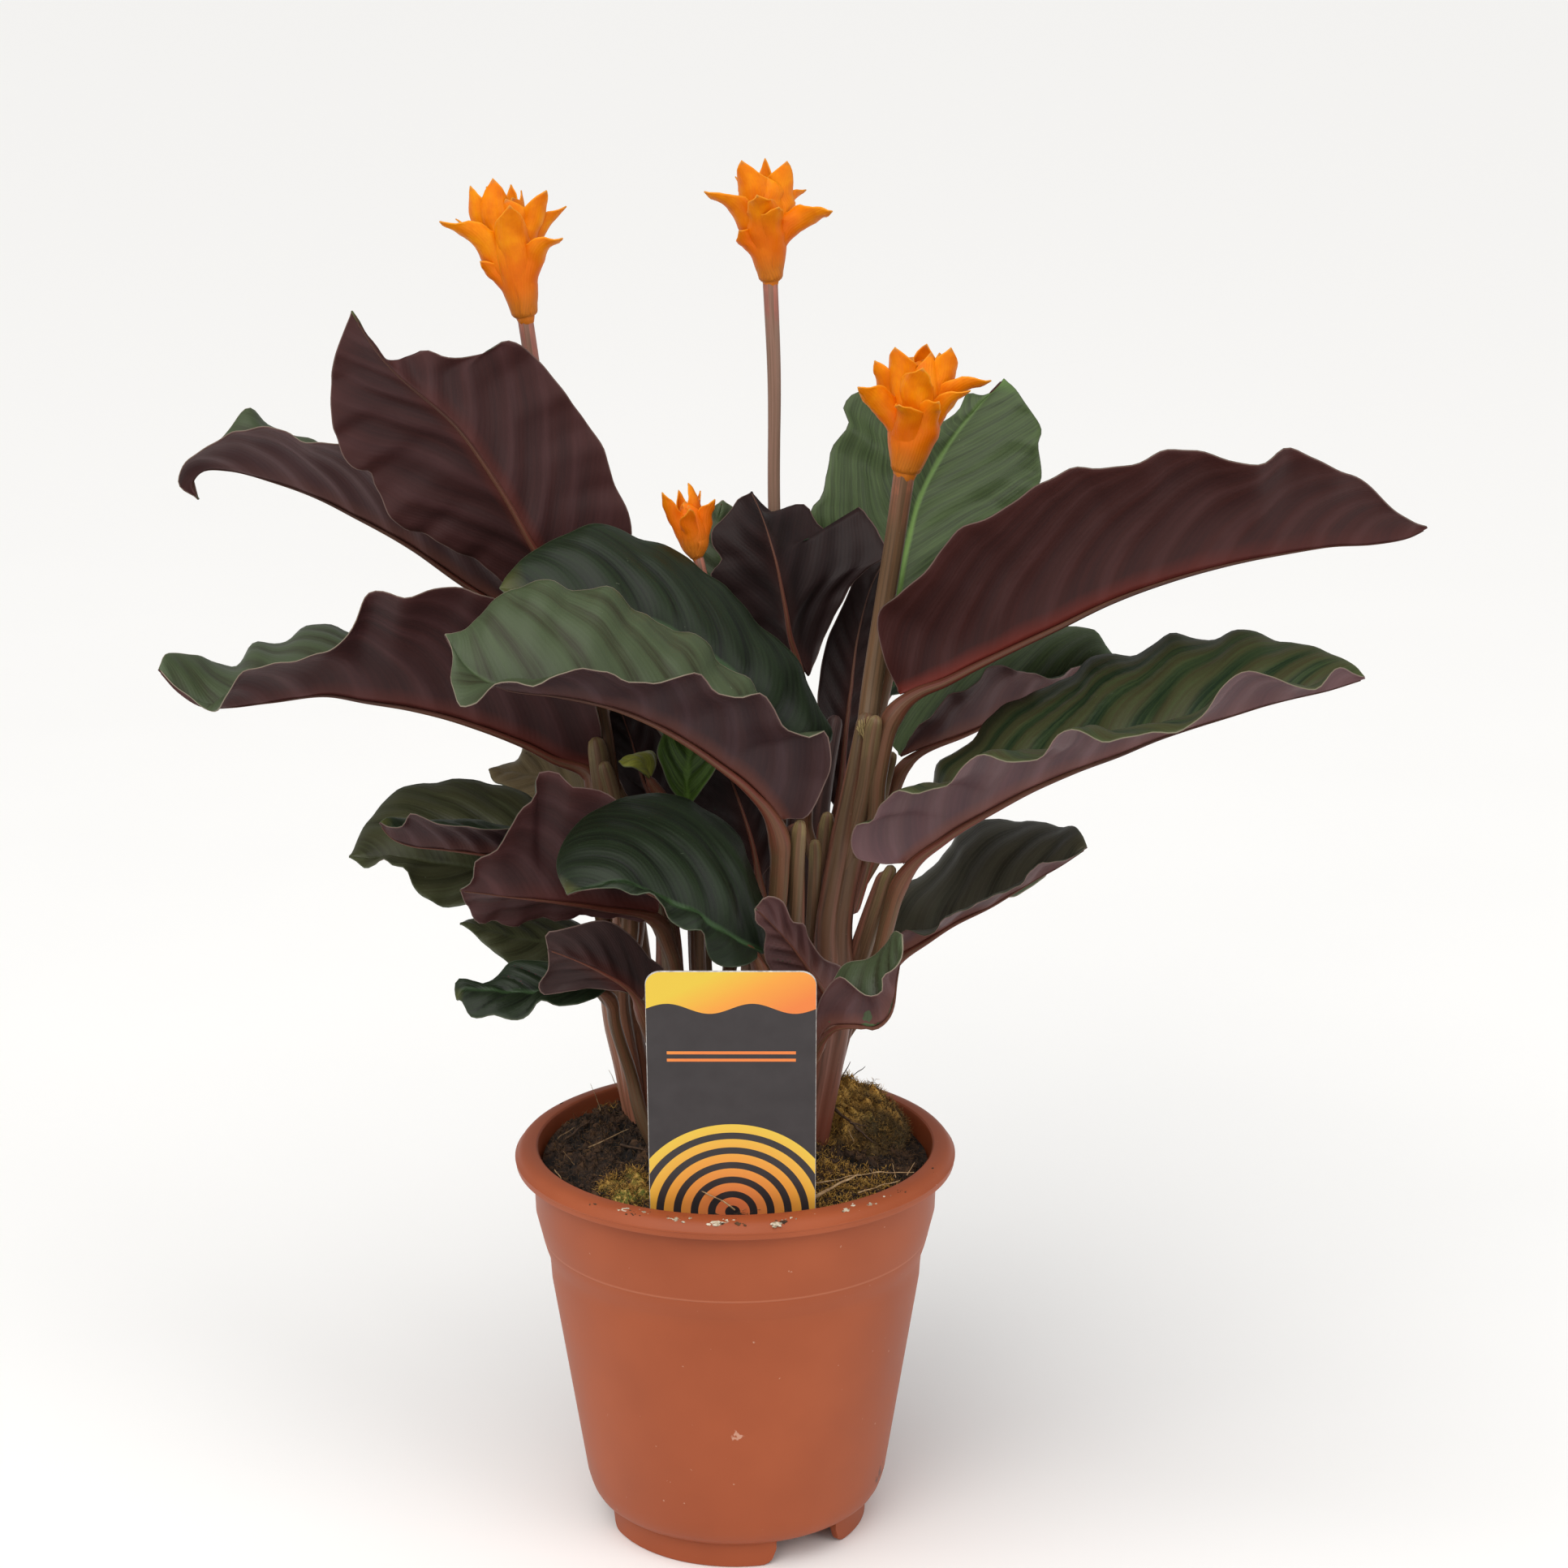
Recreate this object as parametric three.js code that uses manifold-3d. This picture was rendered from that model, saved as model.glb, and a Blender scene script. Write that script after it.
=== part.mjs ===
// Potted eternal flame calathea: a thin moulded nursery pot, its soil, moss and plant tag, eight leaf
// shoots, the leaves, and four orange flower heads on their stalks. Millimetres, +Z up.
// The group's origin is the bottom centre of everything; the pot's axis stands close beside it.
import * as THREE from 'three';
import { mergeVertices } from 'three/addons/utils/BufferGeometryUtils.js';
import Module from 'manifold-3d';

// ---------------------------------------------------------------------------------------------
// Driving dimensions
// ---------------------------------------------------------------------------------------------

const POT_RIM_RADIUS = 70;
const POT_HEIGHT = 128;
const POT_WALL = 1.6;
const POT_FLOOR = 8.5; // height of the base's underside above the feet
const POT_SEGMENTS = 36;

const FOOT_RADIUS = 42;
const FOOT_WIDTH = 2.4;
const FOOT_ARC = 88.5; // degrees each of the three feet spans
const FOOT_GAP_DIRECTION = -56; // degrees from +X to the middle of the first gap between feet

const DRAIN_RADIUS = 4.5;
const DRAIN_COUNT = 6;
const DRAIN_CIRCLE = 28;

const SOIL_EDGE_HEIGHT = 121;
const SOIL_CROWN_HEIGHT = 130;

const TAG_WIDTH = 50;
const TAG_THICKNESS = 0.8;
const TAG_TOP = [0, -70.7, 206.7]; // middle of the tag's top edge
const TAG_AT_SOIL = [0, -54, 128]; // middle of the tag where it enters the soil
const TAG_STAKE = 34; // length hidden in the soil
const TAG_CORNER = 4.5;

const LEAF_THICKNESS = 1.1;
const LEAF_ROWS = [7, 10]; // steps along a small and a large leaf
const LARGE_LEAF_POINTS = 14; // edge points from which a leaf counts as large
const LEAF_HALF_COLUMNS = 2; // steps from the midrib to an edge
const STALK_SIDES = 6;
const GAP = 0.35; // clearance between touching pieces

// Plant points are read off a front drawing made from VIEWPOINT. A point [x, z, near] lies on the
// upright plane through the pot's axis at x, z, and is then moved `near` towards the viewpoint.
const VIEWPOINT = new THREE.Vector3(15.5, -939.3, 485.8);

function at([x, z, near]) {
  const onPlane = new THREE.Vector3(x, 0, z);
  return onPlane.lerp(VIEWPOINT, near / -VIEWPOINT.y);
}

// ---------------------------------------------------------------------------------------------
// Leaves: the midrib and both edges run from the base to the tip; left and right are as seen on
// the upper side. `stalk` runs up to the base as [x, z, near, radius]. `bow` is how far each half
// arches to the upper side, as a share of its width.
// ---------------------------------------------------------------------------------------------

const LEAVES = {
  leaf_top_left: {
    mid: [[-50, 303, -26], [-60.6, 319.6, -22], [-70.4, 337.3, -16], [-83.2, 356, -8],
      [-100.6, 371.7, 2], [-108, 381, 6], [-113, 390, 8]],
    left: [[-34, 310, -34], [-31.1, 325.3, -34], [-36.4, 340.5, -32], [-40, 350.5, -30],
      [-50, 365, -24], [-58.8, 376.3, -18], [-67.5, 381.3, -12], [-74.9, 376.8, -10],
      [-85.2, 376.2, -6], [-92.3, 378.4, -4], [-99.8, 374, 0], [-106, 378.5, 4], [-110, 384.5, 7]],
    right: [[-64, 305, -34], [-74.7, 312, -32], [-89.3, 320.8, -28], [-100, 324.8, -24],
      [-107.9, 336.6, -20], [-109.7, 342.2, -18], [-115.8, 344.5, -14], [-119.3, 352.7, -10],
      [-120.2, 368.5, -4], [-117.3, 380, 3]],
    stalk: [[-38, 246, -12, 2.7], [-39.5, 258, -14, 2.8], [-42, 273, -18, 2.8], [-46, 290, -22, 2.5],
      [-50, 303, -26, 2.4]],
    bow: [0.1, 0.1],
  },
  leaf_far_left: {
    mid: [[-60, 297, -52], [-73, 303, -54], [-83.8, 310, -56], [-96, 318.7, -58], [-111.2, 327.3, -60],
      [-125.6, 334.5, -60], [-140.2, 339.5, -60], [-152, 342.5, -58], [-160, 342.5, -56],
      [-163.5, 338.5, -54], [-161.5, 333.5, -52]],
    left: [[-66, 306, -44], [-85, 326, -38], [-102, 340, -36], [-119.3, 350.5, -36],
      [-131.1, 351.5, -38], [-139.8, 355.5, -40], [-148, 354.5, -42], [-156, 350, -44],
      [-164, 346, -46], [-167, 338.5, -48]],
    right: [[-66, 312, -70], [-85, 330, -82], [-105, 343, -86], [-125, 350, -84], [-139.8, 356.8, -80],
      [-145.5, 360.6, -76], [-151, 355, -70], [-158, 348, -64], [-163, 343, -58]],
    stalk: [[-42.5, 238, -20, 2.3], [-45, 256, -32, 2.4], [-51, 278, -42, 2.3], [-60, 297, -52, 2.2]],
    bow: [0.1, 0.1],
  },
  leaf_mid_left: {
    mid: [[-43, 250.5, -18], [-51.4, 252.2, -18], [-64.2, 258.2, -17], [-81.3, 264.7, -15],
      [-99.7, 269.5, -13], [-113, 271.5, -12], [-125.8, 273.3, -12], [-142.5, 271.1, -12],
      [-154.6, 269.4, -12], [-163, 269.5, -13], [-170, 274, -14], [-176, 281, -16]],
    left: [[-40.8, 260.8, -10], [-43, 272, -8], [-52, 290, -6], [-70, 302, -3], [-86.3, 306, 6],
      [-99.4, 303.9, 11], [-110.4, 304.6, 12], [-115.4, 295.7, 11], [-121, 288.7, 10],
      [-129.2, 284, 9], [-141.8, 283.1, 8], [-150.3, 279.4, 6], [-156, 272, 2], [-161, 267.4, -6],
      [-168.3, 273, -12]],
    right: [[-52, 262, -42], [-70, 278, -54], [-95, 290, -60], [-115, 293, -60], [-129.8, 294, -56],
      [-140.1, 288.8, -52], [-145.8, 288.8, -48], [-151.8, 282.7, -44], [-159.4, 283.4, -38],
      [-168.8, 286, -28], [-174, 285.5, -20]],
    stalk: [[-42.8, 238, -12, 2.3], [-43.4, 245, -16, 2.4], [-43, 250.5, -18, 2.3]],
    bow: [0.1, 0.08],
  },
  leaf_back_arching: {
    mid: [[20, 246, -2], [14, 262, 1], [0, 280, 5], [-22, 295, 7], [-46, 302, 8], [-71, 306, 5]],
    left: [[8, 246, 8], [-10, 262, 14], [-30, 276, 17], [-50, 288, 16], [-64, 298, 12]],
    right: [[30, 259.5, -8], [26.2, 269, -10], [19.2, 283.7, -12], [7.8, 295.6, -14],
      [-6.8, 310.1, -15], [-16.3, 317, -15], [-26.4, 320.5, -15], [-38.9, 326, -14],
      [-50.3, 322.8, -10], [-60.3, 318, -5], [-68.9, 309.5, 1]],
    stalk: [[22.5, 230, -6, 2.2], [22, 238, -4, 2.3], [20, 246, -2, 2.2]],
    bow: [0.08, 0.1],
  },
  leaf_front_arching: {
    mid: [[15, 233.5, 36], [8.9, 241, 38], [-3, 251, 42], [-19.9, 262.1, 46], [-37.5, 269.6, 49],
      [-55.7, 273.2, 51], [-70, 275, 50], [-81, 281, 46], [-88, 291.7, 42]],
    left: [[22, 234, 40], [27.5, 243, 44], [30.2, 252, 48], [28, 260.6, 52], [23.4, 259.1, 54],
      [15.2, 263.8, 57], [8.9, 272.6, 60], [3, 273, 62], [-5, 273.2, 63], [-12.5, 279.7, 65],
      [-20.7, 277.8, 66], [-30, 275.5, 67], [-40, 281.3, 68], [-49.4, 279.7, 69], [-60.1, 276.8, 70],
      [-71.5, 276.1, 68], [-80, 270.3, 64], [-84.2, 269.6, 60], [-86.5, 277.8, 52], [-85.5, 285, 46]],
    right: [[14, 248, 28], [10, 262, 24], [6.8, 275.2, 22], [-2.9, 282.3, 21], [-10.9, 291, 20],
      [-23.4, 295.2, 20], [-31.5, 301, 21], [-35.9, 305.5, 22], [-49.5, 306, 24], [-57.6, 308.7, 25],
      [-70.1, 304.3, 28], [-77.2, 297.8, 32], [-82.3, 293, 37]],
    stalk: [[13.5, 196, 30, 2.8], [14.2, 216, 33, 3], [15, 233.5, 36, 2.7]],
    bow: [0.1, 0.1],
  },
  leaf_centre: {
    mid: [[23, 279, -32], [18.5, 286.6, -30], [16, 300, -27], [13, 315, -28], [9, 328, -36],
      [5.6, 335.6, -46]],
    left: [[28.4, 291.7, -36], [34.7, 304.9, -38], [42.8, 313.5, -38], [46.9, 316.7, -40],
      [44.7, 321.8, -42], [42.5, 326.6, -45], [37.5, 331, -49], [35, 325.4, -47], [31.5, 323.9, -47],
      [27.8, 324.8, -48], [25, 326.6, -49], [22.2, 331.2, -50], [17.2, 331, -50], [12.5, 329.6, -50],
      [9.7, 331.4, -49]],
    right: [[12, 290, -34], [0, 301, -36], [-6.6, 309.7, -37], [-3.8, 314.8, -38], [-6.4, 319.9, -40],
      [-5.4, 324.5, -43], [-1.5, 329.4, -46], [1.5, 333, -48]],
    stalk: [[20.5, 215, -14, 2.4], [21.5, 240, -20, 2.4], [22.3, 262, -28, 2.3], [23, 279, -32, 2.2]],
    bow: [0.12, 0.12],
  },
  leaf_small_back: {
    mid: [[4, 300, -52], [-2, 312, -54], [-5, 322, -57], [-3.1, 333, -60]],
    left: [[-4, 302, -54], [-11, 312, -56], [-11.5, 322, -59], [-8, 329, -61]],
    right: [[6, 312, -58], [5, 322, -61], [1, 330, -62]],
    stalk: [[6, 118, -14, 3.2], [9, 160, -16, 3], [9.5, 205, -22, 2.8], [9, 235, -30, 2.4],
      [7, 270, -44, 2], [4, 300, -52, 1.7]],
    bow: [0.05, 0.05],
  },
  leaf_upper_right: {
    mid: [[50.1, 302, -60], [53.1, 320, -70], [57, 335, -80], [65, 350, -88], [74, 362, -92],
      [81.2, 369.8, -94]],
    left: [[38.9, 309.3, -60], [28, 318, -62], [23.3, 329.8, -64], [26.1, 333.2, -66],
      [29.2, 342.7, -68], [30.1, 349, -72], [34.5, 356.5, -74], [33.7, 362, -78], [38.7, 366, -80],
      [45.5, 357.1, -82], [52, 353, -86], [60, 355, -90], [67.7, 360, -92], [70.5, 366, -96],
      [75.1, 363.6, -97], [78.6, 363.4, -97]],
    right: [[62, 308, -64], [76, 318, -70], [86, 328, -74], [92.8, 338.9, -78], [92.1, 349.7, -82],
      [92.7, 354.9, -85], [87.6, 362.6, -89], [84.5, 367, -92]],
    stalk: [[20, 118, -22, 3.2], [28, 160, -28, 3], [35, 210, -39, 2.8], [42, 255, -57, 2.6],
      [48, 284, -63, 2.4], [50.1, 302, -60, 2.3]],
    bow: [0.06, 0.06],
  },
  leaf_top_right: {
    mid: [[51, 273.5, 8], [62.3, 277.4, 10], [81.1, 286.5, 13], [98, 294.6, 16], [115.4, 302.9, 18],
      [131.9, 309, 20], [150.5, 314.1, 20], [166.2, 317, 19], [181.2, 319.5, 17], [194, 320.2, 14],
      [204, 322, 11], [210, 325, 9]],
    left: [[60, 284, -22], [78, 300, -38], [98, 314, -46], [120, 323, -48], [145, 328, -44],
      [168, 331, -34], [188, 331, -18], [202, 328, -2]],
    right: [[46.1, 284.5, 14], [44.3, 297.5, 20], [50.2, 304.6, 25], [60.2, 312.8, 30],
      [68.7, 324.9, 35], [81.1, 329.3, 38], [93.4, 338.7, 41], [102, 342.9, 42], [110, 342.4, 42],
      [118.8, 343.5, 42], [129.8, 348.5, 42], [138, 347.9, 41], [149.5, 345.5, 40], [159, 344.4, 39],
      [167, 348.4, 37], [174.7, 346, 34], [184, 342, 30], [191.2, 338.1, 26], [199, 331, 20],
      [206, 326.5, 14]],
    stalk: [[43, 230, 13, 2.4], [44.6, 246, 12, 2.7], [46.8, 260, 10, 2.9], [49, 269, 8.5, 2.7],
      [51, 273.5, 8, 2.5]],
    bow: [0.1, 0.12],
  },
  leaf_mid_right_back: {
    mid: [[51.4, 253.6, -14], [60.5, 257.5, -15], [69.3, 260.4, -19], [80, 265.5, -26], [95, 273, -34],
      [108, 281, -40], [115.8, 285.6, -42]],
    left: [[47.8, 259.2, -24], [50.5, 268, -34], [62, 280, -46], [80, 289, -56], [98.3, 294.6, -60],
      [110.1, 292.9, -56], [114, 288, -50]],
    right: [[54.3, 259.2, -6], [60.5, 266.3, -4], [64.9, 271.6, -6], [71.2, 274.4, -8],
      [77.4, 280.6, -12], [82, 281.9, -15], [91, 279.4, -22], [99.1, 278.5, -28], [106, 282, -34],
      [112, 285, -39]],
    stalk: [[46.5, 226, -14, 2], [48.6, 238, -14, 2.1], [50.2, 247, -14, 2.1], [51.4, 253.6, -14, 2]],
    bow: [0.1, 0.1],
  },
  leaf_long_right: {
    mid: [[52.5, 219.5, 22], [58, 223.5, 23], [70, 231.5, 25], [90, 243, 28], [105, 249.5, 30],
      [118.5, 254.5, 32], [131.8, 260.1, 34], [153.9, 267, 36], [170, 271.8, 36], [183, 275, 35],
      [193.5, 278.3, 33]],
    left: [[56, 230, 4], [61, 241, -4], [63.8, 251.5, -10], [73.8, 258.8, -12], [83.2, 270.2, -13],
      [93.3, 273.3, -13], [102.1, 278.3, -13], [109.6, 284.4, -12], [122.7, 285.8, -10],
      [134, 291.4, -8], [145, 290.4, -3], [157.2, 292.9, 3], [168, 289.5, 9], [180.4, 287, 18],
      [190, 282, 27]],
    right: [[44, 219.2, 28], [38, 221, 31], [36.3, 227, 33], [38, 231.2, 36], [42.5, 232, 38],
      [46, 239, 42], [50, 242.6, 45], [57, 241, 48], [65, 243.8, 50], [71.5, 251.4, 52],
      [75, 253.3, 52], [84, 251.7, 52], [95, 254, 53], [101.3, 260.4, 54], [104.4, 261.5, 54],
      [114, 258.8, 55], [126.8, 259.8, 55], [139.3, 263.2, 55], [146.8, 269.2, 54], [151.8, 277.7, 53],
      [158.1, 280.8, 51], [165.8, 277.6, 50], [178, 275, 47], [185.3, 281.2, 42], [190, 279.5, 37]],
    stalk: [[44.4, 186, 18, 2.3], [48, 200, 21, 2.5], [50.4, 209.5, 22, 2.4], [52.5, 219.5, 22, 2.3]],
    bow: [0.08, 0.12],
  },
  leaf_low_right: {
    mid: [[49, 189, -14], [56, 192.5, -13], [68, 200, -12], [80, 206, -11], [92.5, 213.5, -11],
      [101, 218.5, -12], [109.5, 224.5, -14]],
    left: [[48, 202, -26], [51, 209.5, -32], [58, 215.3, -38], [66, 222, -42], [70, 229.5, -44],
      [80, 233, -44], [91, 232.7, -40], [101, 231, -32], [105.5, 231, -26], [108.5, 227.5, -18]],
    right: [[53, 197, -4], [60, 196, 0], [67, 201.5, 4], [71, 204.3, 5], [79, 206.9, 5],
      [85, 210.8, 4], [90, 212.4, 2], [94.5, 219.4, -2], [101, 219.3, -7], [107, 222.5, -12]],
    stalk: [[28, 150, -18, 2.4], [40, 172, -18, 2.4], [49, 189, -14, 2.2]],
    bow: [0.1, 0.05],
  },
  leaf_low_front_a: {
    mid: [[31, 172, 28], [24, 184, 36], [15, 196, 45], [6.5, 204.5, 50]],
    left: [[34, 184.3, 30], [28, 188, 36], [23.3, 195, 41], [22, 199.3, 44], [18.5, 200.2, 46],
      [15, 207, 49], [10, 208.2, 51]],
    right: [[22, 172, 31], [13, 182, 37], [9.3, 190, 44], [9.8, 197, 47], [6.5, 200.5, 50]],
    stalk: [[15, 140, 24, 2.2], [20, 156, 32, 2.2], [31, 172, 38, 2]],
    bow: [0.1, 0.1],
  },
  leaf_low_front_b: {
    mid: [[26, 160, 46], [30, 166, 49], [38, 166.6, 52], [44, 165.8, 53], [48.5, 170, 54],
      [50.3, 180, 54], [52.6, 196, 51]],
    left: [[28, 172, 43], [34, 186, 40], [42, 188, 41], [47, 192.5, 43], [50.5, 197, 46]],
    right: [[25.5, 168, 48], [28, 177, 52], [33, 182, 56], [36.5, 179.6, 58], [42, 175.8, 60],
      [46, 177, 60], [46.8, 182, 60], [50.3, 184.3, 59], [52.6, 189, 55]],
    stalk: [[18, 138, 22, 2.2], [22, 150, 34, 2.2], [26, 160, 44, 2]],
    bow: [0.1, 0.1],
  },
  leaf_front_round: {
    mid: [[9, 190.5, 38], [-1, 195.4, 48], [-6, 198.6, 54], [-13, 203.6, 59], [-23, 208, 64],
      [-34, 213, 66], [-44, 212, 65], [-52, 209, 62]],
    left: [[5.5, 187, 46], [0, 185.4, 55], [-6, 186.7, 58], [-9.4, 191, 60], [-9.6, 197.3, 62],
      [-15, 197.6, 64], [-20, 200, 66], [-22.2, 206, 68], [-25, 209.5, 69], [-31, 208.6, 69],
      [-38, 211.5, 68], [-46, 210.6, 66]],
    right: [[10, 199, 34], [8.6, 209, 30], [4, 221, 28], [-1, 231, 28], [-9, 237, 28],
      [-20, 241.2, 30], [-31, 241.2, 32], [-40, 237.5, 35], [-49, 232, 40], [-54, 224, 46],
      [-55, 216, 54]],
    stalk: [[5, 150, 26, 2.3], [8, 172, 35, 2.3], [9, 190.5, 44, 2.1]],
    bow: [0.05, 0.12],
  },
  leaf_low_left: {
    mid: [[-41.5, 208, -16], [-55, 213, -16], [-72, 216, -14], [-84, 218.2, -12], [-100, 220.4, -10],
      [-112, 221, -9], [-119.7, 221.2, -10]],
    left: [[-48, 203.5, -8], [-60, 202.5, -4], [-75, 203.5, 0], [-84, 206, 2], [-90, 205, 2],
      [-95, 206.4, 2], [-99.5, 211, 2], [-101.8, 216.6, 1], [-106, 218, 0], [-109.5, 220.8, -2],
      [-114.5, 217.4, -5], [-117.5, 219.6, -8]],
    right: [[-46, 222, -28], [-58, 236, -34], [-68, 243, -36], [-80, 245.7, -37], [-92, 245.3, -36],
      [-99.5, 244.3, -34], [-107, 240.3, -31], [-112, 234.5, -26], [-116, 228.5, -20],
      [-118.3, 223.5, -14]],
    stalk: [[-40.5, 197, -14, 2], [-41.5, 208, -16, 1.9]],
    bow: [0.06, 0.1],
  },
  leaf_rolled_left: {
    mid: [[-48, 216, 8], [-62, 220, 12], [-78, 222.5, 15], [-90, 224, 17], [-100, 225, 18],
      [-106, 227.5, 18], [-109.7, 232.2, 17]],
    left: [[-52, 222, 16], [-66, 229.5, 21], [-78, 230.4, 23], [-90, 231.6, 24], [-96, 233.6, 24],
      [-100.3, 235, 24], [-103, 231.2, 22], [-107, 230.8, 20]],
    right: [[-56, 226, 0], [-70, 231, -2], [-85, 233.4, 0], [-95, 233, 4], [-103, 233.6, 9],
      [-108, 233.6, 14]],
    stalk: [[-40.5, 196, 0, 1.9], [-43, 207, 4, 1.9], [-48, 216, 8, 1.7]],
    bow: [0.12, 0.1],
  },
  leaf_lower_left: {
    mid: [[-24, 203.5, 18], [-40, 205, 24], [-55, 207, 29], [-70, 208.6, 32], [-79, 209.8, 32],
      [-85.3, 210.5, 31]],
    left: [[-22, 215, 22], [-26, 230, 27], [-37, 240, 31], [-45, 243.5, 34], [-50, 244.2, 36],
      [-54, 248, 38], [-60.8, 247.6, 39], [-61.3, 241.5, 40], [-66, 236.5, 41], [-69.6, 230, 42],
      [-74, 223.6, 41], [-80.4, 219.9, 39], [-81.6, 213.5, 36]],
    right: [[-30, 200.5, 12], [-42, 202, 13], [-51, 201.3, 14], [-60, 200.8, 15], [-66, 200.4, 16],
      [-71, 198.5, 18], [-76, 200.5, 20], [-80.5, 200.2, 22], [-83.6, 206, 26]],
    stalk: [[-19, 186, 10, 2.4], [-22, 196, 14, 2.4], [-24, 203.5, 18, 2.2]],
    bow: [0.12, 0.08],
  },
  leaf_back_left: {
    mid: [[-44, 239, -46], [-54, 244.5, -54], [-64, 248, -60], [-75.5, 249.3, -64]],
    left: [[-50, 235, -44], [-60, 238.5, -50], [-70, 243.5, -56], [-74.6, 246, -61]],
    right: [[-46, 250, -60], [-55, 258, -68], [-63.6, 259, -71], [-66, 253, -70], [-71, 250.6, -68]],
    stalk: [[-38.5, 210, -20, 2], [-41.5, 226, -34, 2], [-44, 239, -46, 1.8]],
    bow: [0.06, 0.06],
  },
  leaf_base_left_a: {
    mid: [[-30, 174, 34], [-36, 180, 40], [-45, 185.5, 45], [-53, 189, 46], [-58.4, 191, 46]],
    left: [[-22, 184, 30], [-27, 188.5, 32], [-33, 196, 36], [-41, 200.6, 40], [-50, 198.7, 43],
      [-55, 197.4, 45], [-59, 196.4, 46]],
    right: [[-33, 176.5, 38], [-43, 178, 41], [-52, 177.5, 43], [-60, 176.3, 44], [-61.6, 179.5, 45],
      [-58.6, 184.5, 46]],
    stalk: [[-20, 146, 12, 2.2], [-26, 161, 24, 2.2], [-30, 174, 34, 2]],
    bow: [0.12, 0.12],
  },
  leaf_base_left_b: {
    mid: [[-41, 191, 6], [-52, 193.5, 8], [-64, 194.5, 10], [-76, 197.5, 11], [-85.6, 199.6, 11]],
    left: [[-47, 185, 12], [-56, 182.8, 15], [-64, 182.6, 17], [-71, 186.5, 18], [-76.5, 191.5, 17],
      [-80, 194.6, 15], [-83, 197.6, 13]],
    right: [[-46, 198, -4], [-56, 202, -8], [-68, 202.5, -6], [-78, 201.4, 0], [-83.6, 200.6, 6]],
    stalk: [[-43, 180, 0, 2], [-41, 191, 6, 1.8]],
    bow: [0.08, 0.08],
  },
  leaf_base_left_c: {
    mid: [[-38, 180, 26], [-52, 178, 28], [-66, 177, 30], [-78, 177.6, 31], [-84.5, 178, 31],
      [-87.3, 174.5, 32]],
    left: [[-46, 174, 34], [-56, 173, 37], [-61.4, 174, 38], [-64.5, 170, 40], [-70, 167.8, 41],
      [-76, 169.2, 40], [-83, 169, 38], [-85.8, 174, 35]],
    right: [[-46, 185, 25], [-58, 187, 24], [-70, 187.2, 24], [-74, 182.6, 24], [-79, 179.9, 25],
      [-87.2, 181, 28], [-88, 177, 30]],
    stalk: [[-33, 150, 6, 2.1], [-38, 168, 16, 2], [-38, 180, 26, 1.8]],
    bow: [0.08, 0.08],
  },
  leaf_new_yellow: {
    mid: [[-26, 246, 6], [-27, 250.5, 8], [-30, 252.6, 10], [-35.5, 251.8, 10]],
    left: [[-28, 248, 11], [-31, 250, 13], [-34, 250.2, 12]],
    right: [[-23.8, 251.5, 2], [-25, 255, 0], [-30, 254.3, 3], [-34, 253, 7]],
    stalk: [[-16, 228, 4, 1.8], [-22, 240, 5, 1.8], [-26, 246, 6, 1.6]],
    bow: [0.05, 0.05],
  },
  leaf_new_rolled: {
    mid: [[-14, 237, 4], [-14.5, 246, 6], [-13.5, 256, 5], [-13, 266, 0]],
    left: [[-19.5, 243.5, 10], [-22, 250, 12], [-23.5, 255, 11], [-20, 263, 6]],
    right: [[-9.5, 243.5, 10], [-5.5, 250, 12], [-3.5, 257, 10], [-8, 264, 5]],
    bow: [-0.1, -0.1],
  },
  leaf_behind_stems: {
    mid: [[32, 236, -26], [34, 255, -32], [36, 272, -38], [38, 290, -46], [42, 306, -52],
      [48, 318, -60]],
    left: [[38, 248, -32], [41, 268, -40], [46, 284, -47], [49, 300, -54], [50, 311, -58]],
    right: [[27, 246, -28], [26.5, 262, -36], [26, 274, -43], [28.5, 289, -50], [33.5, 301, -54],
      [40, 313, -58]],
    stalk: [[27, 205, -18, 2.3], [30, 220, -22, 2.3], [32, 236, -26, 2.1]],
    bow: [0.12, 0.12],
  },
  leaf_inner_dark: {
    mid: [[-20, 230, -12], [-27, 244, -15], [-31, 258, -20], [-36, 272, -28]],
    left: [[-15, 242, -16], [-20, 256, -20], [-27, 266, -26]],
    right: [[-33, 241, -20], [-38, 254, -26], [-39, 264, -29]],
    stalk: [[-15, 212, -8, 2], [-20, 230, -12, 1.8]],
    bow: [0.1, 0.1],
  },
  leaf_rear_left: {
    mid: [[-12, 236, -36], [-26, 258, -62], [-44, 277, -92], [-60, 288, -122], [-70, 288, -146]],
    left: [[-24, 240, -40], [-42, 254, -68], [-62, 268, -100], [-74, 280, -130]],
    right: [[-8, 262, -60], [-26, 286, -92], [-46, 300, -120], [-62, 298, -142]],
    stalk: [[-10, 200, -16, 2.3], [-12, 218, -26, 2.2], [-12, 236, -36, 2]],
    bow: [0.1, 0.1],
  },
  leaf_rear_right: {
    mid: [[45, 272, -74], [62, 290, -94], [82, 304, -114], [102, 313, -136], [116, 315, -152]],
    left: [[46, 286, -92], [62, 306, -114], [82, 319, -136], [102, 322, -150]],
    right: [[60, 276, -82], [84, 290, -98], [108, 302, -122], [118, 310, -142]],
    stalk: [[28, 200, -34, 2.4], [34, 235, -52, 2.3], [40, 262, -66, 2.2], [45, 272, -74, 2.1]],
    bow: [0.1, 0.1],
  },
  leaf_rear_low: {
    mid: [[0, 196, -28], [-5, 214, -58], [-12, 224, -90], [-18, 222, -120], [-20, 216, -138]],
    left: [[-14, 206, -40], [-30, 218, -70], [-38, 222, -102], [-30, 218, -130]],
    right: [[6, 212, -44], [8, 226, -72], [2, 230, -104], [-10, 222, -130]],
    stalk: [[-3, 160, -14, 2.3], [-2, 180, -20, 2.2], [0, 196, -28, 2]],
    bow: [0.1, 0.1],
  },
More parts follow.
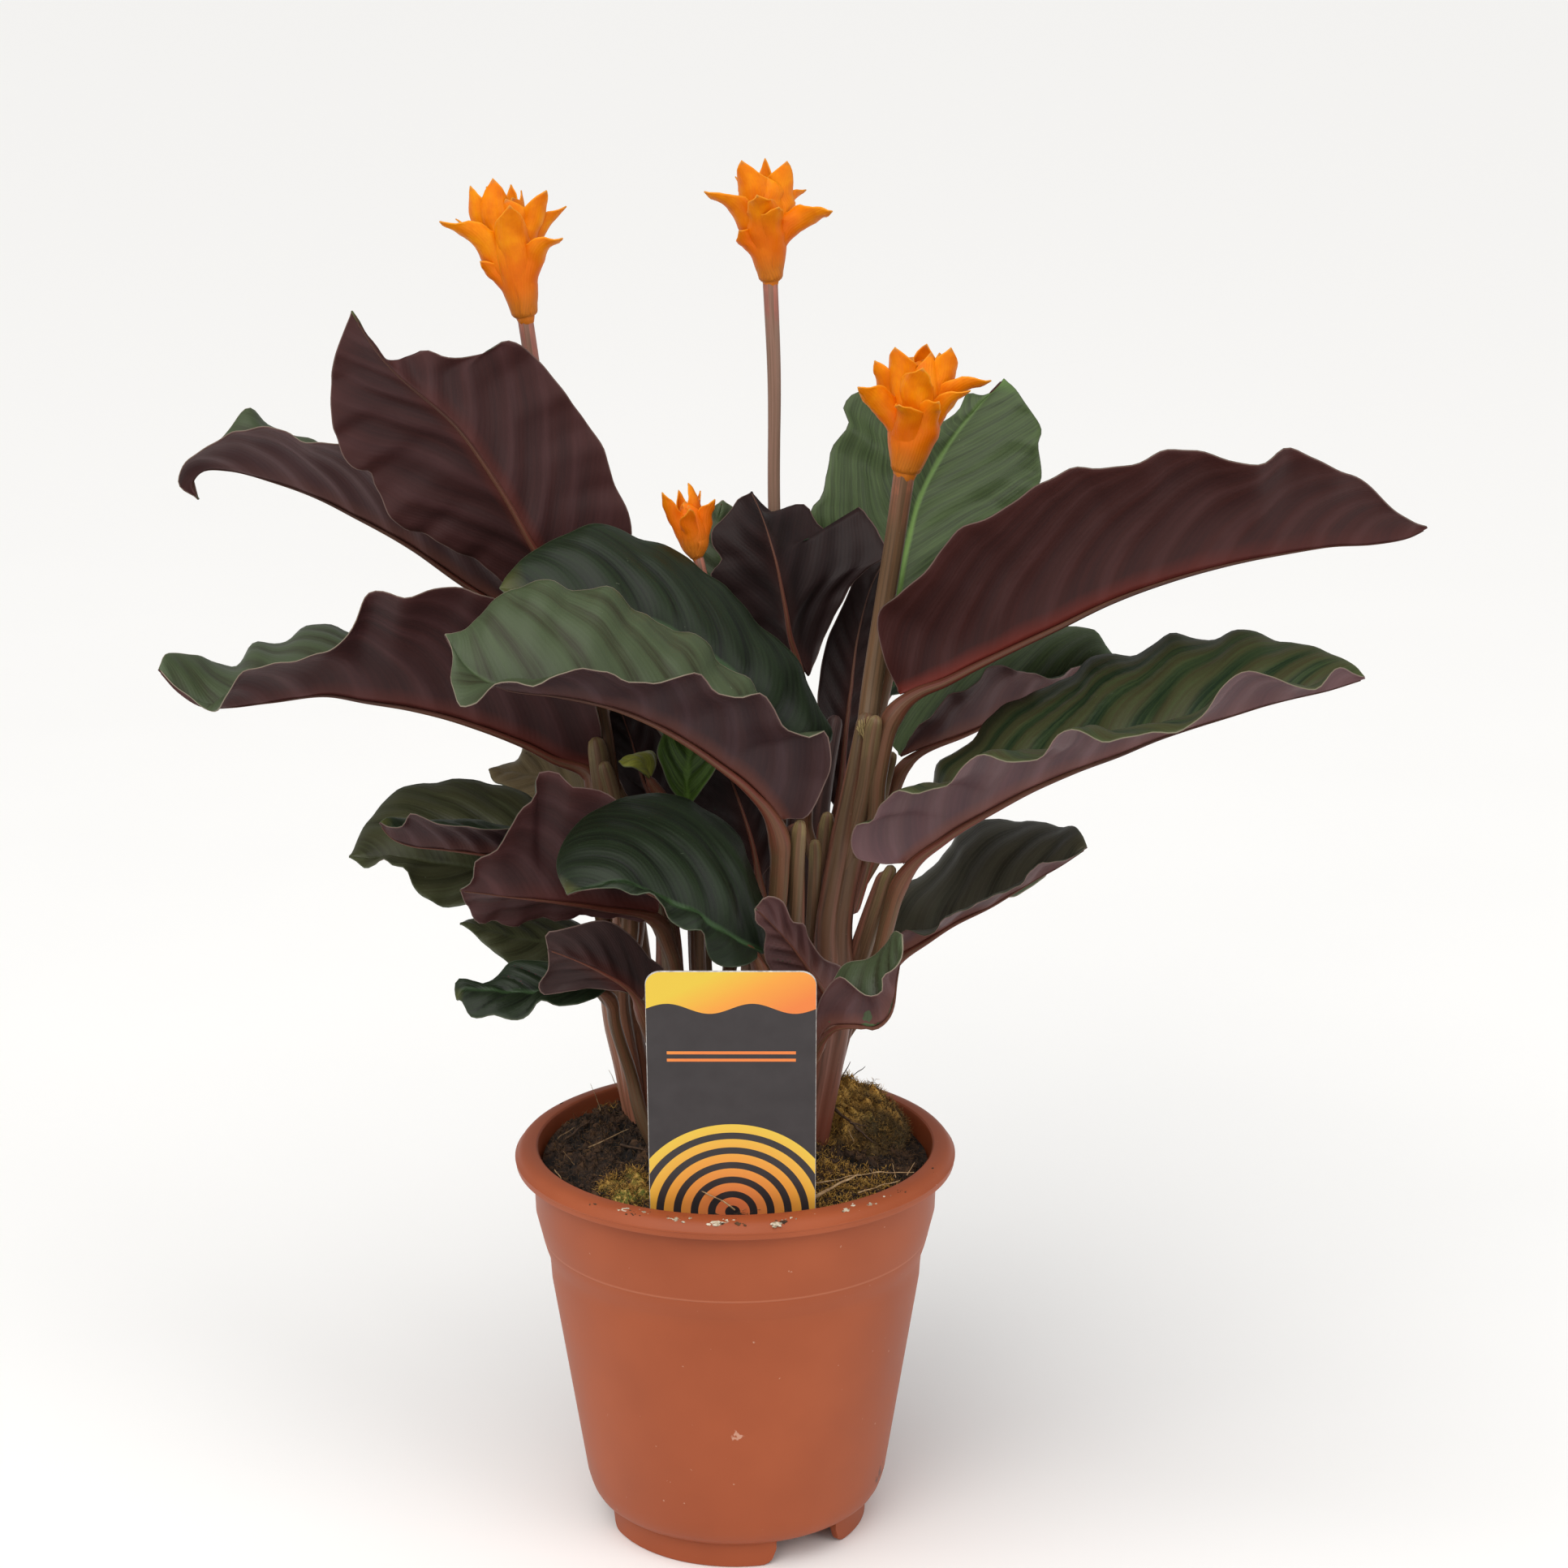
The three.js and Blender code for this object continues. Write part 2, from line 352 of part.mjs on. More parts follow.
  leaf_rear_low_right: {
    mid: [[34, 176, -42], [48, 198, -64], [66, 211, -86], [86, 219, -108], [96, 222, -120]],
    left: [[40, 196, -60], [56, 213, -84], [76, 224, -104], [90, 226, -116]],
    right: [[52, 192, -54], [70, 202, -74], [90, 210, -98], [98, 217, -114]],
    stalk: [[24, 130, -34, 2.3], [29, 155, -38, 2.2], [34, 176, -42, 2]],
    bow: [0.1, 0.1],
  },
  leaf_inner_right: {
    mid: [[8, 214, -2], [5, 228, -4], [0, 244, -10], [-7, 262, -20]],
    left: [[14, 224, -8], [12, 240, -12], [4, 256, -18]],
    right: [[-2, 226, -6], [-8, 240, -12], [-10, 254, -18]],
    stalk: [[9, 190, 6, 2], [9, 202, 2, 2], [8, 214, -2, 1.8]],
    bow: [0.1, 0.1],
  },
};

const SHOOTS = {
  shoot_left: [[-28, 118, -18, 5.2], [-32.5, 150, -14, 5.6], [-36.5, 178, -10, 6.2],
    [-33, 200, -8, 5.6], [-34.5, 222, -8, 4.8], [-37, 240, -10, 3.8]],
  shoot_mid_left: [[-13, 118, 0, 4.2], [-17, 150, 2, 4.6], [-20, 178, 4, 5], [-20.5, 193, 4, 4.6],
    [-21.5, 206, 4, 3.4]],
  shoot_middle: [[-6, 118, -6, 3.6], [-10, 155, -4, 3.4], [-11.8, 185, -2, 2.9], [-12.4, 210, 0, 2.8],
    [-13.6, 232, 3, 2.6]],
  shoot_front_right: [[8, 118, 14, 5.2], [12, 150, 17, 5.8], [16, 180, 21, 5.4], [18, 205, 25, 4.6],
    [19, 229, 29, 3]],
  shoot_mid_right: [[16, 118, -12, 4.2], [21, 160, -8, 4.2], [25, 195, -4, 3.9], [27, 215, -2, 3.2],
    [28, 231, 0, 2.4]],
  shoot_right: [[22, 118, 6, 6], [25.5, 140, 6, 6.2], [28, 155, 7, 6.5], [30, 170, 8, 6.7],
    [30.5, 185, 9, 6.7], [30.5, 200, 9, 6.2], [34.5, 225, 8, 6], [38.5, 250, 6, 4.8],
    [40.5, 264, 4, 3.4]],
  shoot_far_right: [[26, 118, -14, 3.8], [30, 150, -10, 4.2], [36, 176, 0, 4.4], [40.5, 192, 8, 4.5],
    [43.8, 204, 12, 4.1], [46.8, 214, 15, 2.9]],
  shoot_right_small: [[37, 205, -6, 2.4], [42, 225, -8, 3], [45.5, 240, -9, 2.6],
    [47.8, 250, -10, 1.9]],
};

const FLOWER_STALKS = {
  flower_stalk_left: [[-20, 118, -22, 2.8], [-30, 200, -26, 2.7], [-36, 250, -32, 2.5],
    [-43, 285, -40, 2.4], [-49, 315, -45, 2.4], [-54, 340, -42, 2.4], [-58.4, 365, -38, 2.4],
    [-61.5, 387.5, -34, 2.4]],
  flower_stalk_centre: [[10, 118, -24, 2.8], [15, 210, -30, 2.6], [15, 260, -42, 2.3],
    [13.4, 300, -52, 2.1], [12.5, 335, -60, 2], [12.6, 370, -61, 2], [11.5, 398, -60, 2.4]],
  flower_stalk_right: [[41, 262, 2, 3.2], [42.5, 275, -2, 3.2], [46, 300, -6, 3.1], [49, 320, -6, 3.1],
    [51.8, 341, -4, 3.3]],
  flower_stalk_small: [[2, 118, -10, 2.2], [4, 220, -18, 2], [1, 260, -24, 1.8], [-5, 290, -26, 1.7],
    [-10.4, 315, -22, 1.7]],
};

// Flower heads: `axis` runs from the stalk to the top of the funnel; each bract is
// [start along the axis 0..1, tip x, tip z, tip near, width].
const FLOWER_HEADS = {
  flower_left: {
    axis: [[-61.4, 387.9, -34], [-66.5, 416, -34]],
    funnel: [2.9, 4.6, 5.6, 4.4],
    bracts: [[0.1, -86.3, 416.3, -26, 11], [0.25, -81.5, 417, -40, 9], [0.4, -77, 426.6, -30, 9],
      [0.5, -70.3, 428.8, -34, 9], [0.5, -72.2, 426.4, -43, 7], [0.55, -65, 427, -41, 6],
      [0.5, -62, 425.3, -38, 6], [0.4, -54.5, 425.3, -28, 10], [0.3, -48.8, 420.7, -37, 8],
      [0.1, -50, 411.4, -24, 9], [0.25, -76, 417.8, -47, 8], [0.05, -74.6, 404.6, -28, 6],
      [0.15, -65.5, 421, -20, 12]],
  },
  flower_centre: {
    axis: [[11.6, 398.4, -60], [9.8, 424, -60]],
    funnel: [2.6, 4.4, 5.6, 4.4],
    bracts: [[0.1, -8, 425, -50, 10], [0.12, 29.8, 419.3, -50, 10], [0.4, 22, 425.5, -67, 7],
      [0.4, 1.2, 429.3, -69, 7], [0.4, 3, 434, -57, 10], [0.5, 9.9, 434.6, -66, 7],
      [0.4, 16.4, 433.8, -60, 9], [0.1, 7.5, 424, -45, 12], [0.1, 14, 420.5, -47, 10],
      [0.05, 2.2, 413.6, -52, 7], [0.3, 12, 430, -76, 9]],
  },
  flower_right: {
    axis: [[52, 341.3, -4], [56.5, 370, -4]],
    funnel: [3.7, 6, 7, 5.4],
    bracts: [[0.12, 37.6, 367.3, 8, 10], [0.3, 42.6, 375.2, -2, 9], [0.3, 46.5, 371.5, -13, 6],
      [0.5, 48.6, 379.2, 0, 9], [0.5, 58.1, 380.2, -9, 10], [0.5, 65.4, 379.1, -2, 10],
      [0.3, 77.5, 369.3, 2, 9], [0.2, 71.3, 366.3, 8, 7], [0.2, 57, 373, 13, 12],
      [0.05, 62, 363, 11, 9], [0.05, 50, 362, 13, 10], [0.3, 62, 373, -21, 8]],
  },
  flower_small: {
    axis: [[-10.9, 315.4, -22], [-13.6, 329, -22]],
    funnel: [1.6, 3.6, 3.9, 3],
    bracts: [[0.2, -21.3, 335.5, -18, 6], [0.4, -16.3, 336.2, -27, 4], [0.4, -13.4, 338.3, -22, 5.5],
      [0.4, -9.8, 336, -27, 4], [0.2, -5.4, 333.4, -19, 6], [0.1, -13, 330.5, -13, 6]],
  },
};
const BRACT_ROWS = 3;
const BRACT_THICKNESS = 0.9;

// ---------------------------------------------------------------------------------------------
// Solids: closed meshes joined and cut
// ---------------------------------------------------------------------------------------------

const wasm = await Module();
wasm.setup();

function toSolid(geometry) {
  const bare = geometry.clone();
  bare.deleteAttribute('normal');
  bare.deleteAttribute('uv');
  const merged = mergeVertices(bare, 1e-4);
  return new wasm.Manifold(new wasm.Mesh({
    numProp: 3,
    vertProperties: new Float32Array(merged.attributes.position.array),
    triVerts: new Uint32Array(merged.index.array),
  }));
}

function toGeometry(solid) {
  const mesh = solid.getMesh();
  const geometry = new THREE.BufferGeometry();
  geometry.setAttribute('position', new THREE.BufferAttribute(mesh.vertProperties, 3));
  geometry.setIndex(new THREE.BufferAttribute(mesh.triVerts, 1));
  geometry.computeVertexNormals();
  return geometry;
}

function largestPart(solid) {
  return solid.decompose().reduce((best, part) => (part.volume() > best.volume() ? part : best));
}

function geometryFrom(points, triangles) {
  const geometry = new THREE.BufferGeometry().setFromPoints(points);
  geometry.setIndex(triangles.flat());
  return geometry;
}

// A thin closed sheet on a grid of points. The first and the last row of the grid are one point each.
function sheetSolid(grid, thickness) {
  const lastRow = grid.length - 1;
  const lastColumn = grid[0].length - 1;
  const normals = grid.map((row, i) => row.map((_, j) => {
    const along = grid[Math.min(i + 1, lastRow)][j].clone().sub(grid[Math.max(i - 1, 0)][j]);
    const nearRow = grid[Math.min(Math.max(i, 1), lastRow - 1)];
    const across = nearRow[Math.min(j + 1, lastColumn)].clone().sub(nearRow[Math.max(j - 1, 0)]);
    return across.cross(along).normalize();
  }));
  for (const i of [0, lastRow]) {
    const mean = normals[i].reduce((sum, n) => sum.add(n), new THREE.Vector3()).normalize();
    normals[i] = normals[i].map(() => mean);
  }
  const points = [];
  const index = [1, -1].map((side) => grid.map((row, i) => row.map((point, j) => {
    const isEnd = i === 0 || i === lastRow;
    if (isEnd && j > 0) return points.length - 1;
    points.push(point.clone().addScaledVector(normals[i][j], side * thickness / 2));
    return points.length - 1;
  })));
  const triangles = [];
  const addQuad = (a, b, c, d) => {
    if (a !== b) triangles.push([a, b, c]);
    if (c !== d) triangles.push([a, c, d]);
  };
  const [top, bottom] = index;
  for (let i = 0; i < lastRow; i += 1) {
    for (let j = 0; j < lastColumn; j += 1) {
      addQuad(top[i][j], top[i][j + 1], top[i + 1][j + 1], top[i + 1][j]);
      addQuad(bottom[i][j + 1], bottom[i][j], bottom[i + 1][j], bottom[i + 1][j + 1]);
    }
    addQuad(top[i][0], top[i + 1][0], bottom[i + 1][0], bottom[i][0]);
    addQuad(top[i + 1][lastColumn], top[i][lastColumn], bottom[i][lastColumn], bottom[i + 1][lastColumn]);
  }
  return toSolid(geometryFrom(points, triangles));
}

// A round rod through [x, z, near, radius] points, grown all round by `grow`.
function rodSolid(path, grow) {
  const curve = new THREE.CatmullRomCurve3(path.map(at), false, 'centripetal');
  const count = path.length - 1;
  const points = [];
  let normal = new THREE.Vector3(0, -1, 0);
  for (let i = 0; i <= count; i += 1) {
    const u = i / count;
    const radius = path[i][3] + grow;
    const tangent = curve.getTangent(u);
    const centre = curve.getPoint(u);
    if (i === 0) centre.addScaledVector(tangent, -grow);
    if (i === count) centre.addScaledVector(tangent, grow);
    normal = normal.clone().projectOnPlane(tangent).normalize();
    const side = tangent.clone().cross(normal);
    for (let k = 0; k < STALK_SIDES; k += 1) {
      const angle = (2 * Math.PI * k) / STALK_SIDES;
      points.push(centre.clone()
        .addScaledVector(normal, radius * Math.cos(angle))
        .addScaledVector(side, radius * Math.sin(angle)));
    }
  }
  const triangles = [];
  for (let i = 0; i < count; i += 1) {
    for (let k = 0; k < STALK_SIDES; k += 1) {
      const a = i * STALK_SIDES + k;
      const b = i * STALK_SIDES + (k + 1) % STALK_SIDES;
      triangles.push([a, b, b + STALK_SIDES], [a, b + STALK_SIDES, a + STALK_SIDES]);
    }
  }
  const end = count * STALK_SIDES;
  for (let k = 1; k < STALK_SIDES - 1; k += 1) {
    triangles.push([0, k + 1, k], [end, end + k, end + k + 1]);
  }
  return toSolid(geometryFrom(points, triangles));
}

// ---------------------------------------------------------------------------------------------
// Leaf blades and flower bracts
// ---------------------------------------------------------------------------------------------

function leafGrid(leaf, grow) {
  const base = leaf.mid[0];
  const tip = leaf.mid.at(-1);
  const isLarge = leaf.left.length + leaf.right.length >= LARGE_LEAF_POINTS;
  const rows = LEAF_ROWS[isLarge ? 1 : 0];
  const spread = (rail) => new THREE.CatmullRomCurve3(rail.map(at), false, 'centripetal')
    .getSpacedPoints(rows);
  const mid = spread(leaf.mid);
  const edges = [spread([base, ...leaf.left, tip]), spread([base, ...leaf.right, tip])];
  return mid.map((centre, i) => {
    const along = mid[Math.min(i + 1, rows)].clone().sub(mid[Math.max(i - 1, 0)]).normalize();
    const row = [];
    for (let j = -LEAF_HALF_COLUMNS; j <= LEAF_HALF_COLUMNS; j += 1) {
      const half = j < 0 ? 0 : 1;
      const outward = edges[half][i].clone().sub(centre);
      const width = outward.length();
      const up = outward.clone().multiplyScalar(half === 0 ? -1 : 1).cross(along).normalize();
      const s = Math.abs(j) / LEAF_HALF_COLUMNS;
      const reach = width > 0 ? s * (1 + grow / width) : 0;
      row.push(centre.clone()
        .addScaledVector(outward, reach)
        .addScaledVector(up, leaf.bow[half] * width * 4 * s * (1 - s)));
    }
    return row;
  });
}

function leafSolid(leaf, grow) {
  const blade = sheetSolid(leafGrid(leaf, grow), LEAF_THICKNESS + 2 * grow);
  if (!leaf.stalk) return blade;
  // The stalk runs on under the first stretch of the midrib.
  const [x, z, near] = leaf.mid[1];
  const intoBlade = [(leaf.mid[0][0] + x) / 2, (leaf.mid[0][1] + z) / 2, (leaf.mid[0][2] + near) / 2, 1];
  return blade.add(rodSolid([...leaf.stalk, intoBlade], grow));
}

function bractGrid(start, tip, width, upAxis) {
  const reach = tip.clone().sub(start);
  const length = reach.length();
  const outward = reach.clone().projectOnPlane(upAxis);
  if (outward.length() < 0.15 * length) outward.add(new THREE.Vector3(0, -0.3 * length, 0));
  outward.projectOnPlane(upAxis).normalize();
  const curve = new THREE.CubicBezierCurve3(
    start,
    start.clone().addScaledVector(upAxis, 0.35 * length).addScaledVector(outward, 0.18 * length),
    tip.clone().addScaledVector(reach, -0.35).addScaledVector(upAxis, 0.1 * length),
    tip,
  );
  const rows = [];
  for (let i = 0; i <= BRACT_ROWS; i += 1) {
    const t = i / BRACT_ROWS;
    const centre = curve.getPoint(t);
    const across = outward.clone().cross(curve.getTangent(t)).normalize();
    const halfWidth = 0.5 * width * Math.sin(Math.PI * t ** 0.8) ** 0.8;
    rows.push([-1, 0, 1].map((s) => centre.clone()
      .addScaledVector(across, -s * halfWidth)
      .addScaledVector(outward, -0.35 * halfWidth * Math.abs(s))));
  }
  rows[0] = rows[0].map(() => start);
  rows[BRACT_ROWS] = rows[BRACT_ROWS].map(() => tip);
  return rows;
}

function flowerSolid(head, grow) {
  const [low, high] = head.axis.map(at);
  const upAxis = high.clone().sub(low).normalize();
  const along = (u) => head.axis[0].map((value, k) => THREE.MathUtils.lerp(value, head.axis[1][k], u));
  const last = head.funnel.length - 1;
  const profile = head.funnel.map((radius, k) => [...along(k / last), radius]);
  let solid = rodSolid(profile, grow);
  for (const [startAt, x, z, near, width] of head.bracts) {
    const start = low.clone().lerp(high, startAt);
    const tip = at([x, z, near]);
    const grid = bractGrid(start, tip, width + 2 * grow, upAxis);
    solid = solid.add(sheetSolid(grid, BRACT_THICKNESS + 2 * grow));
  }
  return solid;
}

// ---------------------------------------------------------------------------------------------
// Pot, soil, moss and tag
// ---------------------------------------------------------------------------------------------

// Outer profile as [radius, height], from the base's edge up to the rim.
const POT_OUTER = [[42.7, POT_FLOOR], [45.5, 10.6], [47.6, 13.4], [48.6, 17], [59, 84], [59.5, 91],
  [61.5, 98], [63.7, 107], [64.2, 121.4], [69.4, 122.4], [POT_RIM_RADIUS, 123.2], [69.4, 125.6],
  [66.8, 127.6], [64.6, POT_HEIGHT]];
const POT_INNER = [[63, POT_HEIGHT - 0.4], [62.3, 126], [61.9, 107.6], [59.8, 98.4], [57.9, 91.2],
  [57.4, 84], [47, 17.6], [44.6, 12.4], [42, POT_FLOOR + POT_WALL]];

// A lathe turns about Y, so it is stood up on Z. Profiles are [radius, height], outside going up.
function turned(profile) {
  const points = profile.map(([radius, height]) => new THREE.Vector2(radius, height));
  return toSolid(new THREE.LatheGeometry(points, POT_SEGMENTS).rotateX(Math.PI / 2));
}

function footGeometry(middle) {
  const half = THREE.MathUtils.degToRad(FOOT_ARC / 2);
  const shape = new THREE.Shape();
  shape.absarc(0, 0, FOOT_RADIUS, middle - half, middle + half, false);
  shape.absarc(0, 0, FOOT_RADIUS - FOOT_WIDTH, middle + half, middle - half, true);
  shape.closePath();
  return new THREE.ExtrudeGeometry(shape, { depth: POT_FLOOR + 0.6, bevelEnabled: false, curveSegments: 7 });
}

function potSolid() {
  let pot = turned([[0, POT_FLOOR], ...POT_OUTER, ...POT_INNER, [0, POT_FLOOR + POT_WALL]]);
  for (let k = 0; k < 3; k += 1) {
    const middle = THREE.MathUtils.degToRad(FOOT_GAP_DIRECTION + 60 + 120 * k);
    pot = pot.add(toSolid(footGeometry(middle)));
  }
  for (let k = 0; k < DRAIN_COUNT; k += 1) {
    const angle = (2 * Math.PI * k) / DRAIN_COUNT;
    const drill = new THREE.CylinderGeometry(DRAIN_RADIUS, DRAIN_RADIUS, 20, 8).rotateX(Math.PI / 2);
    drill.translate(DRAIN_CIRCLE * Math.cos(angle), DRAIN_CIRCLE * Math.sin(angle), POT_FLOOR);
    pot = pot.subtract(toSolid(drill));
  }
  return pot;
}

// The soil fills the pot to just under the rim and is mounded at the crown of the plant.
function soilSolid(grow) {
  const floor = POT_FLOOR + POT_WALL + GAP;
  const side = POT_INNER.slice(2).map(([radius, height]) => [radius - GAP, height]).reverse();
  side[0] = [side[0][0], floor];
  const edge = side.at(-1)[0];
  const rise = SOIL_CROWN_HEIGHT - SOIL_EDGE_HEIGHT;
  const top = [1, 0.8, 0.55, 0.3].map((share) => [
    edge * share, SOIL_EDGE_HEIGHT + rise * (1 - share ** 2) + grow,
  ]);
  return turned([[0, floor], ...side, ...top, [0, SOIL_CROWN_HEIGHT + grow]]);
}

// Cushions of moss: flattened balls whose undersides follow the soil.
const MOSS = {
  moss_right: { centre: [36, 12, 124], radii: [20, 25, 19] },
  moss_front_left: { centre: [-31, -35, 123], radii: [11.5, 10, 6] },
};

function mossSolid([x, y, z], [radiusX, radiusY, radiusZ], grow) {
  const ball = new THREE.SphereGeometry(1, 12, 7).rotateX(Math.PI / 2);
  ball.scale(radiusX + grow, radiusY + grow, radiusZ + grow).translate(x, y, z);
  return toSolid(ball);
}

// The tag's outline: rounded top corners and a stake that narrows into the soil.
function tagSolid(grow) {
  const top = new THREE.Vector3(...TAG_TOP);
  const lean = top.clone().sub(new THREE.Vector3(...TAG_AT_SOIL));
  const height = lean.length();
  const half = TAG_WIDTH / 2 + grow;
  const foot = -TAG_STAKE - grow;
  const shape = new THREE.Shape();
  shape.moveTo(-4 - grow, foot);
  shape.lineTo(4 + grow, foot);
  shape.lineTo(half, -8);
  shape.lineTo(half, height + grow - TAG_CORNER);
  shape.absarc(half - TAG_CORNER, height + grow - TAG_CORNER, TAG_CORNER, 0, Math.PI / 2, false);
  shape.lineTo(-half + TAG_CORNER, height + grow);
  shape.absarc(-half + TAG_CORNER, height + grow - TAG_CORNER, TAG_CORNER, Math.PI / 2, Math.PI, false);
  shape.lineTo(-half, -8);
  shape.closePath();
  const thickness = TAG_THICKNESS + 2 * grow;
  const card = new THREE.ExtrudeGeometry(shape, { depth: thickness, bevelEnabled: false, curveSegments: 5 });
  card.translate(0, 0, -thickness / 2).rotateX(Math.PI / 2).rotateX(Math.atan2(-lean.y, lean.z));
  card.translate(...TAG_AT_SOIL);
  return toSolid(card);
}

// ---------------------------------------------------------------------------------------------
// Assembly: each piece is cut clear of the ones placed before it
// ---------------------------------------------------------------------------------------------

const FINISHES = {
  pot: { color: '#a65a40', roughness: 0.45 },
  soil: { color: '#2e231b', roughness: 1 },
  moss: { color: '#7d7535', roughness: 1 },
  tag: { color: '#3c383a', roughness: 0.5 },
  shoot: { color: '#6f5a48', roughness: 0.5 },
  leaf: { color: '#42543a', roughness: 0.5 },
  flower_stalk: { color: '#7a5548', roughness: 0.5 },
  flower_head: { color: '#f28c1a', roughness: 0.6 },
};

const plant = new THREE.Group();
const placed = []; // solids already standing, each grown by the gap

function add(name, finish, solid) {
  const mesh = new THREE.Mesh(toGeometry(solid), new THREE.MeshStandardMaterial(FINISHES[finish]));
  mesh.name = name;
  plant.add(mesh);
}

// `make(grow)` returns the piece's solid, grown all round by `grow`.
function place(name, finish, make) {
  const cleared = placed.reduce((rest, other) => rest.subtract(other), make(0));
  add(name, finish, largestPart(cleared));
  placed.push(make(GAP));
}

add('pot', 'pot', potSolid()); // only the soil meets it, and that keeps its own gap
place('tag', 'tag', tagSolid);
place('soil', 'soil', soilSolid);
for (const [name, path] of Object.entries(SHOOTS)) {
  place(name, 'shoot', (grow) => rodSolid(path, grow));
}
for (const [name, path] of Object.entries(FLOWER_STALKS)) {
  place(name, 'flower_stalk', (grow) => rodSolid(path, grow));
}
for (const [name, head] of Object.entries(FLOWER_HEADS)) {
  place(name, 'flower_head', (grow) => flowerSolid(head, grow));
}
for (const [name, leaf] of Object.entries(LEAVES)) {
  place(name, 'leaf', (grow) => leafSolid(leaf, grow));
}
for (const [name, { centre, radii }] of Object.entries(MOSS)) {
  place(name, 'moss', (grow) => mossSolid(centre, radii, grow));
}

const box = new THREE.Box3().setFromObject(plant);
plant.position.set(-(box.min.x + box.max.x) / 2, -(box.min.y + box.max.y) / 2, -box.min.z);

export default plant;
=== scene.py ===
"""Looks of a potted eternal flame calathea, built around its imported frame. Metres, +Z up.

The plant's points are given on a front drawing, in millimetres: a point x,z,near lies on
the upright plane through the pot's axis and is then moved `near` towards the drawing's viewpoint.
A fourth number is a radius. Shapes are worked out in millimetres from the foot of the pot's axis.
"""
import functools
import math
import random

import bpy
import numpy as np
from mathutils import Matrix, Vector, noise


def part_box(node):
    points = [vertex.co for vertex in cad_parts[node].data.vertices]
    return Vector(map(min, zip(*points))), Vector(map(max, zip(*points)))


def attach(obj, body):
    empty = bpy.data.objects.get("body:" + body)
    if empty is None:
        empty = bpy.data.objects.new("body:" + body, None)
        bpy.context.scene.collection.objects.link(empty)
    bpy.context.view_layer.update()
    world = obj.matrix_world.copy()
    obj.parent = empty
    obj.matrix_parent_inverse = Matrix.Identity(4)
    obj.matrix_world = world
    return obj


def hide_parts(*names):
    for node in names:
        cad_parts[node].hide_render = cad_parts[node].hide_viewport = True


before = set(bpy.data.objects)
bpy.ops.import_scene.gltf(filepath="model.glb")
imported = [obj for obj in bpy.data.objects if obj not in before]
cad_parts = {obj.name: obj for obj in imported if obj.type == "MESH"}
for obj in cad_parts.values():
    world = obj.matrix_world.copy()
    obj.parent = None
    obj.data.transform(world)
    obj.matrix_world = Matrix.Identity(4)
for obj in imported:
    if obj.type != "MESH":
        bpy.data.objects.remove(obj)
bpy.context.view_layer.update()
noise.seed_set(1)  # or its vectors differ from run to run

MM = 0.001
FULL_TURN = 2 * math.pi
pot_low, pot_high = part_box("pot")
POT_AXIS = np.array([(pot_low.x + pot_high.x) / 2, (pot_low.y + pot_high.y) / 2, 0])
VIEWPOINT = np.array([15.5, -939.3, 485.8])
VIEW_DOWN = 14.4  # degrees the view looks down
LENS_MM = 72
SENSOR_MM = 36


def numbers(text):
    """The rows of a table: numbers joined by commas, rows parted by spaces."""
    return [[float(part) for part in row.split(",")] for row in text.split()]


def at(point):
    """The place of a drawing point."""
    x, z, near = point[:3]
    on_plane = np.array([x, 0.0, z])
    return on_plane + (VIEWPOINT - on_plane) * (near / -VIEWPOINT[1])


def rail(text):
    """The places of drawing points written as text."""
    return np.array([at(point) for point in numbers(text)])


# Sizes and points of the plant

BLADE = 0.36  # leaf thickness
VEIN_PITCH = 16.0  # between the feather bands of a large leaf
# What the `place` of a leaf says at its base's middle vein, along its midrib and at its tip.
FIRST_VEIN, MIDRIB, TIP = 400, 200, 100

